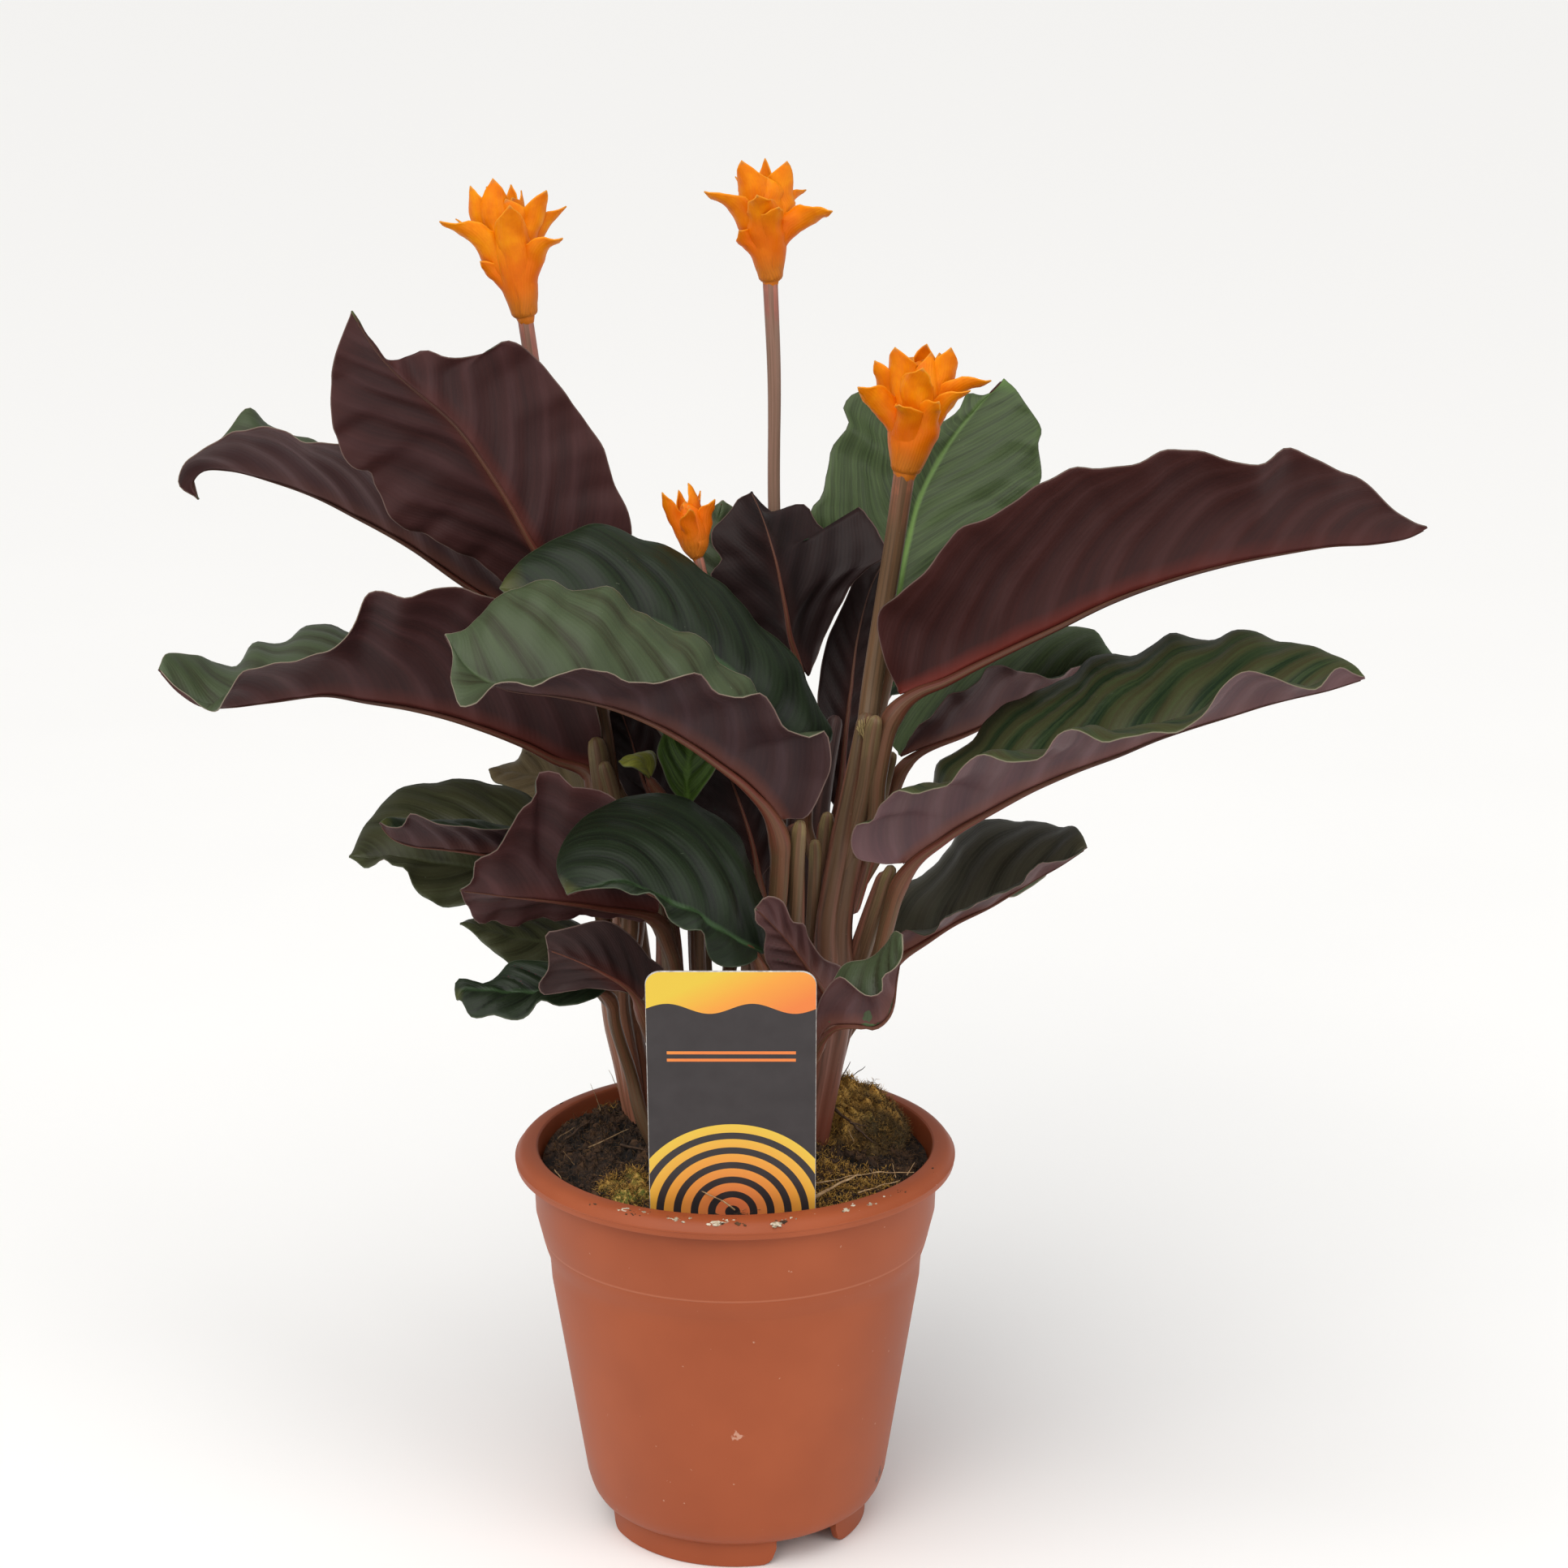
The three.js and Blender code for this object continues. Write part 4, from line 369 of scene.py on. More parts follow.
# Flower heads: the two ends of the axis, and the radii of the closed funnel from foot to crown.
# A bract is where it starts (0 to 1 up the axis), its tip's x,z,near, and its width.
FLOWER_HEADS = {
    "flower_left": dict(
        axis="-61.4,387.9,-34 -66.5,416,-34", funnel=[2.9, 4.6, 5.6, 4.4],
        bracts="""0.1,-86.3,416.3,-26,11 0.25,-81.5,417,-40,9 0.4,-77,426.6,-30,9
            0.5,-70.3,428.8,-30,12 0.5,-72.2,426.4,-43,7 0.55,-65,427,-41,6 0.5,-62,425.3,-38,6
            0.4,-54.5,425.3,-28,10 0.3,-48.8,420.7,-37,8 0.1,-50,411.4,-24,9 0.25,-76,417.8,-47,8
            0.05,-74.6,404.6,-28,6 0.15,-65.5,421,-20,12"""),
    "flower_centre": dict(
        axis="11.6,398.4,-60 9.8,424,-60", funnel=[2.6, 4.4, 5.6, 4.4],
        bracts="""0.1,-8,425,-50,10 0.12,29.8,419.3,-50,10 0.4,22,425.5,-67,7 0.4,1.2,429.3,-69,7
            0.4,3,434,-54,13 0.5,9.9,434.6,-66,7 0.4,16.4,433.8,-57,12 0.1,7.5,424,-45,12
            0.1,14,420.5,-47,10 0.05,2.2,413.6,-52,7 0.3,12,430,-76,9"""),
    "flower_right": dict(
        axis="52,341.3,-4 56.5,370,-4", funnel=[3.7, 6, 7, 5.4],
        bracts="""0.12,37.6,367.3,8,10 0.3,42.6,375.2,-2,9 0.3,46.5,371.5,-13,6 0.5,48.6,379.2,2,11
            0.5,58.1,380.2,-6,12 0.5,65.4,379.1,0,11 0.3,77.5,369.3,2,9 0.2,71.3,366.3,8,7
            0.2,57,373,13,12 0.05,62,363,11,9 0.05,50,362,13,10 0.3,62,373,-21,8"""),
    "flower_small": dict(
        axis="-10.9,315.4,-22 -13.6,329,-22", funnel=[1.6, 3.6, 3.9, 3],
        bracts="""0.2,-21.3,335.5,-18,6 0.4,-16.3,336.2,-27,4 0.4,-13.4,338.3,-22,5.5
            0.4,-9.8,336,-27,4 0.2,-5.4,333.4,-19,6 0.1,-13,330.5,-13,6"""),
}

# Finishes

PER_MM = 1000.0  # a texture scale of PER_MM / size gives features of that size in mm


def srgb(code):
    """A colour written as #rrggbb, turned to linear light."""
    parts = [int(code[i:i + 2], 16) / 255 for i in (1, 3, 5)]
    return tuple(c / 12.92 if c <= 0.04045 else ((c + 0.055) / 1.055) ** 2.4 for c in parts) + (1.0,)


def add(tree, kind, *ordered, out=0, stops=(), **named):
    """Adds a node and returns one of its outputs. Its sockets are filled in order and by their
    capitalised names, from numbers, colour codes or outputs; the other names are settings."""
    made = tree.nodes.new("ShaderNode" + kind)
    for count, (position, code) in enumerate(stops):
        ramp = made.color_ramp.elements
        stop = ramp[count] if count < len(ramp) else ramp.new(position)
        stop.position, stop.color = position, srgb(code)
    sockets = dict(enumerate(ordered))
    for name, value in named.items():
        if name[0].isupper():
            sockets[name.replace("_", " ")] = value
        else:
            setattr(made, name, value)
    for key, value in sockets.items():
        if isinstance(value, bpy.types.NodeSocket):
            tree.links.new(value, made.inputs[key])
        elif value is not None:
            made.inputs[key].default_value = srgb(value) if isinstance(value, str) else value
    return made.outputs[out]


class Finish:
    """A material in the making. `x`, `y`, `z` and `edge` are the notes of a Shape, in metres, and
    `body` is the place in the whole model."""

    def __init__(self, name, roughness, **constants):
        self.made = bpy.data.materials.new(name)
        self.made.use_nodes = True
        tree = self.made.node_tree
        self.shader = tree.nodes["Principled BSDF"].inputs
        self.shader["Roughness"].default_value = roughness
        for key, value in constants.items():
            self.shader[key.replace("_", " ")].default_value = value
        self.node = functools.partial(add, tree)
        self.place = self.node("Attribute", out="Vector", attribute_name="place")
        self.edge = self.node("Attribute", out="Fac", attribute_name="edge")
        self.body = self.node("TexCoord", out="Object")
        self.x, self.y, self.z = self.node("SeparateXYZ", self.place).node.outputs

    def waves(self, length, spacing, wander=None):
        """Waves along a length, `spacing` mm apart."""
        turns = self.node("Math", length, FULL_TURN / (spacing * MM), operation="MULTIPLY")
        if wander:
            turns = self.node("Math", turns, wander, operation="ADD")
        return self.node("Math", turns, operation="SINE")

    def stripe(self, length, centre, half, soft, strength):
        """A soft-edged stripe where a length is near its centre, all in metres."""
        off = self.node("Math", length, centre, operation="SUBTRACT")
        off = self.node("Math", off, operation="ABSOLUTE")
        return self.node("MapRange", off, half, soft, strength, 0.0)

    def layered(self, colour, layers):
        """Lays [share, colour] layers over a first colour."""
        for share, over in layers:
            colour = self.node("Mix", share, *[None] * 5, colour, over, out=2, data_type="RGBA")
        return colour

    def done(self, colour, layers, relief=None, strength=0, depth=0, gloss=None):
        """The material, with a relief `depth` mm deep."""
        ends = {"Base Color": self.layered(colour, layers), "Roughness": gloss}
        if relief:
            ends["Normal"] = self.node("Bump", Strength=strength, Distance=depth * MM, Height=relief)
        for socket, source in ends.items():
            if source:
                self.made.node_tree.links.new(source, self.shader[socket])
        return self.made


def leaf_top(name, codes, pitch, contrast, veins):
    """The upper side of a leaf: waxy and smooth, in soft feather bands that lie in the hollows
    between its veins and fade towards the margin, with fine veins and streaks running the same
    way, a paler midrib, a hair-thin margin and a few dry scratches."""
    field, band, light, rib, tip, margin = codes.split()
    skin = Finish("leaf_upper_" + name, 0.44, IOR=1.42, Specular_IOR_Level=0.3)
    node, edge = skin.node, skin.edge
    drift = node("TexNoise", Vector=skin.body, Scale=PER_MM / 34, Detail=2.0)
    wander = node("MapRange", drift, 0.3, 0.7, -0.6, 0.6)
    bands = node("MapRange", skin.waves(skin.x, pitch, wander), -0.35, 0.95, 0.0, contrast,
                 interpolation_type="SMOOTHSTEP")
    inner = node("MapRange", edge, 0.5 * MM, 9 * MM, 0.3, 1.0)
    bands = node("Math", bands, inner, operation="MULTIPLY")
    # streaks along the veins, 2.5 mm wide and 20 mm long
    grain = node("VectorMath", skin.place, (PER_MM / 2.5, PER_MM / 20, 0), operation="MULTIPLY")
    patch = node("TexNoise", Vector=grain, Scale=1.0, Detail=4.0, Roughness=0.6)
    fine = skin.waves(skin.x, 2.1, wander)
    fine_veins = node("MapRange", fine, 0.72, 1.0, 0.0, veins, interpolation_type="SMOOTHSTEP")
    midrib = skin.stripe(skin.y, MIDRIB * MM, 0.35 * MM, 1.3 * MM, 0.75)
    fade = node("MapRange", skin.z, 20 * MM, TIP * MM, 1.0, 0.25)
    midrib = node("Math", midrib, fade, operation="MULTIPLY")
    marks = node("TexNoise", Vector=skin.body, Scale=PER_MM / 3.4, Detail=6.0, Distortion=2.5)
    cells = node("TexNoise", Vector=skin.body, Scale=PER_MM / 0.6, Detail=2.0)
    return skin.done(field, [
        (bands, band),
        (node("MapRange", patch, 0.4, 0.7, 0.0, 0.6), light),
        (fine_veins, light),
        (midrib, rib),
        (node("MapRange", skin.z, 92 * MM, TIP * MM, 0.0, 0.5), tip),
        (node("MapRange", marks, 0.735, 0.77, 0.0, 0.4), "#8e9a80"),
        (node("MapRange", edge, 0.2 * MM, 2.4 * MM, 0.3, 0.0), light),
        (node("MapRange", edge, 0.1 * MM, 0.3 * MM, 0.75, 0.0), margin),
    ], node("Math", fine, 0.35, cells, operation="MULTIPLY_ADD"), 0.35, 0.09,
        gloss=node("MapRange", patch, 0.3, 0.7, 0.38, 0.52))


def leaf_underside(name, codes):
    """The underside of a leaf: matt purple-red, darkened in the hollows between its veins as painted
    shade, with a greyer painted sheen on the ridges between them, and redder at its margin."""
    field, band, red, rib, ridge_sheen = codes.split()
    skin = Finish("leaf_under_" + name, 0.5, IOR=1.4, Specular_IOR_Level=0.25)
    node, edge = skin.node, skin.edge
    drift = node("TexNoise", Vector=skin.body, Scale=PER_MM / 34, Detail=3.0)
    wander = node("MapRange", drift, 0.3, 0.7, -0.9, 0.9)
    wave, fine = skin.waves(skin.x, VEIN_PITCH, wander), skin.waves(skin.x, 2.1, wander)
    # streaks along the veins, 4 mm wide and 24 mm long
    grain = node("VectorMath", skin.place, (PER_MM / 4, PER_MM / 24, 0), operation="MULTIPLY")
    cloud = node("TexNoise", Vector=grain, Scale=1.0, Detail=4.0, Roughness=0.55)
    # the hollows between the veins are darkened as painted shade, and the ridges carry a painted
    # sheen
    bands, ridges, fine_veins = (
        node("MapRange", source, low, high, 0.0, strength, interpolation_type="SMOOTHSTEP")
        for source, low, high, strength in ((wave, 0.6, -0.8, 0.42), (wave, 0.35, 1.0, 1.0),
                                            (fine, 0.7, 1.0, 0.16)))
    cloudy = node("MapRange", cloud, 0.35, 0.7, 0.0, 0.45)
    midrib = skin.stripe(skin.y, MIDRIB * MM, 0.8 * MM, 5 * MM, 0.7)
    fade = node("MapRange", skin.z, 10 * MM, 85 * MM, 1.0, 0.1)
    cells = node("TexNoise", Vector=skin.body, Scale=PER_MM / 0.5, Detail=2.0)
    return skin.done(field, [
        (bands, band),
        (node("Math", ridges, cloudy, operation="MULTIPLY"), ridge_sheen),
        (node("MapRange", cloud, 0.44, 0.74, 0.0, 0.45), red),
        (fine_veins, red),
        (node("MapRange", edge, 0.4 * MM, 10 * MM, 0.5, 0.0), red),
        (node("Math", midrib, fade, operation="MULTIPLY"), rib),
        (node("MapRange", edge, 0.08 * MM, 0.26 * MM, 0.6, 0.0), "#7a645c"),
    ], node("Math", fine, 0.4, cells, operation="MULTIPLY_ADD"), 0.3, 0.08)


# Upper sides: [field, band, light, rib, tip and margin], mm from band to band, their contrast, and
# the strength of the fine veins.
UPPER = {name: leaf_top(name, *look) for name, *look in (
    ("deep", "#182013 #0e120c #25331e #3f5a36 #6d6a35 #4c5240", 16, 0.85, 0.2),
    ("pale", "#404a33 #2c2a1b #49553b #52663f #4c5a42 #8c8070", 16, 0.85, 0.2),
    ("veined", "#38442a #2f3923 #55683f #729549 #66903f #4c5240", 9, 0.45, 0.3),
    ("banded", "#403e28 #1b2c1c #465432 #465432 #46502e #7d7562", 16, 0.95, 0.2),
    ("dusk", "#3a3a26 #242414 #464b31 #464b31 #464b31 #4c5240", 16, 0.85, 0.25),
    ("grey", "#4a473a #302e24 #595a49 #595a49 #655f45 #4c5240", 16, 0.85, 0.3),
    ("olive", "#75664a #5f5238 #857757 #857757 #857757 #4c5240", 16, 0.7, 0.3),
    ("new", "#7b7d2f #5f662a #999b44 #999b44 #6d6a35 #4c5240", 9, 0.5, 0.4),
    ("fresh", "#2f401b #172210 #55722c #55722c #6d6a35 #4c5240", 12, 0.8, 0.4),
)}
# Undersides: [field, hollows (painted shade between the veins), redder margin, rib and ridge sheen
# (a painted sheen)].
LOWER = {name: leaf_underside(name, codes) for name, codes in (
    ("burgundy", "#3a2222 #2c1b1b #482826 #652d24 #54393b"),
    ("wine", "#391e1c #2c191a #45211e #752c22 #523738"),
    ("plum", "#382627 #2b1f22 #422b2a #5e3226 #4e3d43"),
    ("mauve", "#4c3434 #3e2b2f #5a3a38 #6f4336 #665055"),
    ("dusty", "#584243 #45343a #654649 #74473b #745c60"),
    # these two darker copies of the undersides are painted shade for leaves low down or deep in the
    # clump
    ("half_shade", "#2b1d1c #221718 #382523 #5a2a22 #3c2b2d"),
    ("shade", "#1f1414 #1a1011 #2a1918 #3c201c #2a1d1f"),
)}


def stem(name, stops, ribs, roughness, streaks):
    """Smooth fleshy plant skin. `stops` give its colour at lengths in mm along it; fine ribs and
    streaks of two other colours run its whole length."""
    skin = Finish(name, roughness, IOR=1.4, Specular_IOR_Level=0.35)
    node = skin.node
    first, last = stops[0][0], stops[-1][0]
    patch = node("TexNoise", Vector=skin.body, Scale=PER_MM / 9, Detail=4.0)
    uneven = 30 * MM  # how far a colour's end wanders
    shift = node("Math", patch, uneven, skin.z, operation="MULTIPLY_ADD")
    share = node("MapRange", shift, first * MM + uneven / 2, last * MM + uneven / 2, 0.0, 1.0)
    colour = node("ValToRGB", share, stops=[
        ((length - first) / (last - first), code) for length, code in stops])
    turn = node("Math", skin.y, skin.x, operation="ARCTAN2")
    slow = node("Math", skin.z, 7.0, operation="MULTIPLY")
    layers = []
    for code, width, *reach in ((streaks[0], 1.3, 0.42, 0.58, 0.0, 0.9),
                                (streaks[1], 4.5, 0.5, 0.66, 0.0, 0.6)):
        streaky = node("CombineXYZ", turn, width, slow)
        streak = node("TexNoise", Vector=streaky, Scale=width, Detail=2.0)
        layers.append((node("MapRange", streak, *reach), code))
    turn = node("Math", turn, float(ribs), operation="MULTIPLY")
    lines = node("Math", turn, operation="SINE")
    fleck = node("TexNoise", Vector=skin.body, Scale=PER_MM / 1.1, Detail=4.0)
    layers.append((node("MapRange", fleck, 0.7, 0.78, 0.0, 0.3), "#93806c"))
    relief = node("Math", lines, 0.4, fleck, operation="MULTIPLY_ADD")
    return skin.done(colour, layers, relief, 0.35, 0.12)


# Leaf stalk and rib (length from the blade's base): olive-brown, redder at the joint below the
# blade and along the rib, which fades into the blade.
STALK = stem("leaf_stalk_skin", [(-60, "#5f4a35"), (-18, "#5e4630"), (-6, "#673a2a"),
                                 (14, "#612c22"), (70, "#3e2320")], 18, 0.45, ("#66432f", "#43301f"))
# Rolled sheaths: red-brown where they leave the soil, olive-brown higher up, faintly waxy.
SHOOT = stem("shoot_sheath_skin", [(0, "#743a2b"), (22, "#6e3e2f"), (60, "#604132"),
                                   (100, "#5f4734"), (130, "#614d37")],
             26, 0.4, ("#784c3e", "#3f2a1e"))
# A lighter copy of the sheath skin, painted light for the left shoot, which stands in shade.
LIT_SHOOT = stem("lit_shoot_skin", [(0, "#a3624a"), (30, "#9a604b"), (60, "#815c45"),
                                       (120, "#6f583e")], 26, 0.4, ("#9a6a54", "#634733"))
DARK_SHOOT = stem("young_shoot_skin", [(0, "#4a2f2a"), (120, "#3d2a28")], 26, 0.45,
                  ("#553833", "#2d201e"))
# Free sheath ends (length down from the tip): olive, paler at the blunt tip.
SHEATH = stem("sheath_end_skin", [(-2, "#7d6c48"), (2, "#6f5f40"), (12, "#65513a"), (40, "#624a37")],
              12, 0.45, ("#70513c", "#4c3a27"))
# A cut shoot's end: dead, straw-dry fibres.
DRY = stem("dry_shoot_fibre", [(0, "#7d6a42"), (4, "#a08c5c")], 6, 0.8, ("#b09c70", "#6f5838"))
# Flower stalks (length down from the head): pink at the head, mauve-brown or olive-brown below.
FLOWER_STALK = stem("flower_stalk_skin", [(0, "#b4705e"), (7, "#9a6257"), (16, "#8b6c5d"),
                                          (80, "#7d6351")], 14, 0.45, ("#8d6b5c", "#6a4f3e"))
OLIVE_FLOWER_STALK = stem("thick_flower_stalk_skin", [
    (0, "#a8684c"), (7, "#805540"), (20, "#68503a"), (80, "#644f39")],
    14, 0.45, ("#6e5038", "#4b3b2a"))


def bract_skin():
    """Flower bracts: waxy, thin enough to let light through, ribbed at the foot, dry at the tip."""
    skin = Finish("bract_skin", 0.45, IOR=1.4, Specular_IOR_Level=0.2, Subsurface_Weight=0.1,
                  Subsurface_Scale=0.0015, Subsurface_Radius=(1.0, 0.5, 0.1))
    node, along = skin.node, skin.y
    patch = node("TexNoise", Vector=skin.body, Scale=PER_MM / 5, Detail=3.0)
    tone = node("ValToRGB", patch, stops=[(0.3, "#d96f04"), (0.5, "#e47e05"), (0.72, "#ec9008")])
    deep, foot = (
        node("MapRange", along, low * MM, high * MM, 0.75, 0.0, interpolation_type="SMOOTHSTEP")
        for low, high in ((14, 25), (1, 11)))
    lines = skin.waves(skin.x, 0.85)
    thin = node("MapRange", lines, 0.4, 1.0, 0.0, 0.35)
    rim = node("MapRange", skin.edge, 0.1 * MM, 0.4 * MM, 0.6, 0.0)
    free = node("MapRange", along, 9 * MM, 15 * MM, 0.0, 1.0)
    soft = node("TexNoise", Vector=skin.body, Scale=PER_MM / 0.8, Detail=2.0)
    return skin.done(tone, [
        (deep, "#d65e04"),
        (foot, "#c47426"),
        (node("Math", thin, foot, operation="MULTIPLY"), "#984c14"),
        (node("MapRange", skin.z, 96 * MM, TIP * MM, 0.0, 0.85), "#8a6a48"),
        (node("Math", rim, free, operation="MULTIPLY"), "#ee9c28"),
    ], node("Math", lines, 0.6, soft, operation="MULTIPLY_ADD"), 0.3, 0.1)


BRACT = bract_skin()


def pot_plastic():
    """Thin-walled moulded polypropylene: even terracotta, satin, with faint clouding from the
    mould, a pale painted highlight along the step under the rim, dust specks, a white scuff and a
    smear of peat."""
    skin = Finish("terracotta_polypropylene", 0.45, IOR=1.49, Specular_IOR_Level=0.24)
    node = skin.node
    cloud = node("TexNoise", Vector=skin.body, Scale=PER_MM / 40, Detail=3.0)
    tone = node("ValToRGB", cloud, stops=[(0.3, "#924829"), (0.5, "#984c2c"), (0.7, "#9f5130")])
    dust = node("TexNoise", Vector=skin.body, Scale=PER_MM / 2.2, Detail=5.0)
    # the pale line on the step below the rim is a painted highlight
    layers = [(skin.stripe(skin.z, 99.0 * MM, 0.1 * MM, 0.5 * MM, 0.25), "#c98567"),
              (node("MapRange", dust, 0.73, 0.76, 0.0, 0.5), "#c9a68f")]
    for centre, reach, code in (((1.0, -53.8, 51.0), 2.6, "#c79a84"),
                                ((46.0, -16.0, 19.5), 4.5, "#4a2a1c")):
        gone = node("VectorMath", skin.place, [c * MM for c in centre], out="Value",
                    operation="DISTANCE")
        mark = node("MapRange", gone, reach * 0.3 * MM, reach * MM, 0.62, 0.42)
        mark = node("Math", mark, dust, operation="SUBTRACT")
        mark = node("MapRange", mark, 0.02, 0.08, 0.0, 0.7)
        near = node("MapRange", gone, reach * 0.8 * MM, reach * MM, 1.0, 0.0)
        layers.append((node("Math", mark, near, operation="MULTIPLY"), code))
    peel = node("TexNoise", Vector=skin.body, Scale=PER_MM / 1.2, Detail=2.0)
    return skin.done(tone, layers, peel, 0.12, 0.05,
                     gloss=node("MapRange", cloud, 0.3, 0.7, 0.42, 0.52))


PLASTIC = pot_plastic()


def crumbly(name, codes, size, roughness, grain, hollow="#0b0705"):
    """A dull natural matter: each crumb has its own tint, and it is darkened down in its hollows as
    painted shade.
    """
    dark, middle, light = codes.split()
    skin = Finish(name, roughness)
    node = skin.node
    tint = node("TexNoise", Vector=skin.place, Scale=PER_MM / size, Detail=3.0)
    tone = node("ValToRGB", tint, stops=[(0.36, dark), (0.5, middle), (0.66, light)])
    speck = node("TexNoise", Vector=skin.body, Scale=PER_MM / (2.2 * grain), Detail=3.0)
    tone = skin.layered(tone, [(node("MapRange", speck, 0.5, 0.68, 0.0, 0.7), light)])
    # the hollow colour under the tone is painted shade, strongest where the surface lies low
    raised = node("MapRange", skin.edge, -1.3 * MM, 1.2 * MM, 0.12, 1.0)
    rough = node("TexNoise", Vector=skin.body, Scale=PER_MM / grain, Detail=4.0)
    return skin.done(hollow, [(raised, tone)], rough, 0.9, 0.5 * grain)


# Moist peat with bark: nearly black to brown from crumb to crumb, and darkened in its hollows as
# painted shade.
PEAT = crumbly("moist_peat", "#1c130c #352214 #5c4028", 5, 0.92, 0.7)
FIBRE = crumbly("peat_fibre", "#3a2615 #624427 #957044", 16, 0.85, 0.5)
ROOT = crumbly("dry_root", "#77593d #9c7d58 #bfa27a", 4, 0.75, 0.7)
TWIG = crumbly("dark_twig", "#2c1d12 #453020 #5f4630", 9, 0.8, 0.5)
LIME = crumbly("lime_crust", "#8a7963 #b5a78f #d2c8b6", 1.6, 0.9, 0.5)
MOSS_CUSHION = crumbly("cushion_moss", "#60641f #c48f3a #f0c268", 14, 0.85, 0.5, "#1e1209")
# The tag's cut edge and unprinted back: white card, a little grey from handling.
TAG_EDGE = crumbly("card_edge", "#9c9894 #b5b1ac #cfcbc6", 2, 0.7, 0.4)
TAG_BACK = crumbly("card_back", "#cdc9c2 #d8d4cd #e1ddd7", 12, 0.6, 0.5)


def printed_card():
    """Coated card, printed: a sunset band with a wavy hem over charcoal, two rules, and rings that
    rise from the bottom edge."""
    skin = Finish("printed_card", 0.4, IOR=1.5, Specular_IOR_Level=0.35)
    node, across, up = skin.node, skin.x, skin.y
    slope = node("Math", across, -0.55, up, operation="MULTIPLY_ADD")
    slope = node("MapRange", slope, 82 * MM, 58 * MM, 0.0, 1.0)
    sunset = node("ValToRGB", slope, stops=[(0.0, "#d9b83c"), (0.5, "#e2963a"), (1.0, "#de7a3a")])
    hem = node("Math", skin.waves(across, 25), 1.7 * MM, 68 * MM, operation="MULTIPLY_ADD")
    in_band = node("Math", up, hem, operation="GREATER_THAN")
    flat = node("CombineXYZ", across, up, 0.0)
    reach = node("VectorMath", flat, (0, -3 * MM, 0), out="Value", operation="DISTANCE")
    ring = node("Math", reach, 5.2 * MM, operation="MODULO")
    ring = node("Math", ring, 2.3 * MM, operation="GREATER_THAN")
    inside = node("Math", reach, 31.2 * MM, operation="LESS_THAN")
    ring = node("Math", ring, inside, operation="MULTIPLY")
    glow = node("MapRange", reach, 4 * MM, 32 * MM, 0.0, 1.0)
    rings = node("ValToRGB", glow, stops=[(0.0, "#e27a4a"), (0.55, "#e39a3e"), (1.0, "#dcbb44")])
    grain = node("TexNoise", Vector=skin.body, Scale=PER_MM / 6, Detail=4.0)
    ink = node("ValToRGB", grain, stops=[(0.3, "#2f2a2b"), (0.7, "#353031")])
    rules = []
    for height in (50.5, 53.0):
        gap = node("Math", up, height * MM, operation="SUBTRACT")
        gap = node("Math", gap, operation="ABSOLUTE")
        rules.append(node("Math", gap, 0.5 * MM, operation="LESS_THAN"))
    width = node("Math", across, operation="ABSOLUTE")
    short = node("Math", width, 19 * MM, operation="LESS_THAN")
    rule = node("Math", node("Math", *rules, operation="ADD"), short, operation="MULTIPLY")
    fibre = node("TexNoise", Vector=skin.body, Scale=PER_MM / 1.5, Detail=2.0)
    return skin.done(ink, [(ring, rings), (rule, sunset), (in_band, sunset)], fibre, 0.08, 0.05)


TAG_FRONT = printed_card()

# Shapes

FAR = 99.0  # the `edge` of a point far from any margin, mm


class Shape:
    """Points, faces, and two notes that the finishes read: `place` is where a point lies on its
    piece, and `edge` is its distance from the margin, or on crumbly matter how high it stands, which
    sets the painted shade down in its hollows. `finish` numbers each face's material."""

    def __init__(self, points, faces, finish=0, place=None, edge=None):
        self.points = np.asarray(points, float).reshape(-1, 3)
        self.faces = [tuple(face) for face in faces]
        self.finish = np.zeros(len(self.faces)) + finish
        self.place = np.array(self.points if place is None else place, float).reshape(-1, 3)
        self.edge = np.array(np.full(len(self.points), FAR) if edge is None else edge).ravel()


def joined(shapes):
    starts = np.cumsum([0] + [len(shape.points) for shape in shapes[:-1]])
    faces = [tuple(i + int(start) for i in face)
             for start, shape in zip(starts, shapes) for face in shape.faces]
    points, finish, place, edge = (
        np.concatenate([getattr(shape, part) for shape in shapes])
        for part in ("points", "finish", "place", "edge"))
    return Shape(points, faces, finish, place, edge)


def shown(name, data):
    """Puts an object in the scene."""
    made = bpy.data.objects.new(name, data)
    bpy.context.scene.collection.objects.link(made)
    return made


def piece(name, shape, finishes, node=None, smooth=True):
    """Makes one Blender object from a shape; it stands for the CAD node of the same name."""
    mesh = bpy.data.meshes.new(name)
    mesh.from_pydata((shape.points * MM + POT_AXIS).tolist(), [], shape.faces)
    place = mesh.attributes.new("place", "FLOAT_VECTOR", "POINT")
    place.data.foreach_set("vector", (shape.place * MM).ravel())
    edge = mesh.attributes.new("edge", "FLOAT", "POINT")
    edge.data.foreach_set("value", shape.edge * MM)
    for finish in finishes:
        mesh.materials.append(finish)
    mesh.polygons.foreach_set("material_index", shape.finish.astype(np.int32))
    mesh.polygons.foreach_set("use_smooth", [smooth] * len(mesh.polygons))
    mesh.validate()
    made = shown(name + "_look", mesh)
    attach(made, "root")
    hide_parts(node or name)
    return made


def unit(vectors):
    length = np.linalg.norm(vectors, axis=-1, keepdims=True)
    return vectors / np.maximum(length, 1e-9)


def ease(low, high, value):
    """0 below low, 1 above high, smooth between."""
    share = np.clip((value - low) / (high - low), 0, 1)
    return share * share * (3 - 2 * share)


def bumps(x, y, level, scale):
    """Smooth random heights from -1 to 1; each level is a field of its own."""
    return noise.noise(Vector((x * scale, y * scale, level)))


def run_of(path):
    """How far along a path each of its points is."""
    return np.concatenate([[0], np.cumsum(np.linalg.norm(np.diff(path, axis=0), axis=1))])


def between(start, end, start_at, end_at, t):
    return ((end_at - t) * start + (t - start_at) * end) / (end_at - start_at)


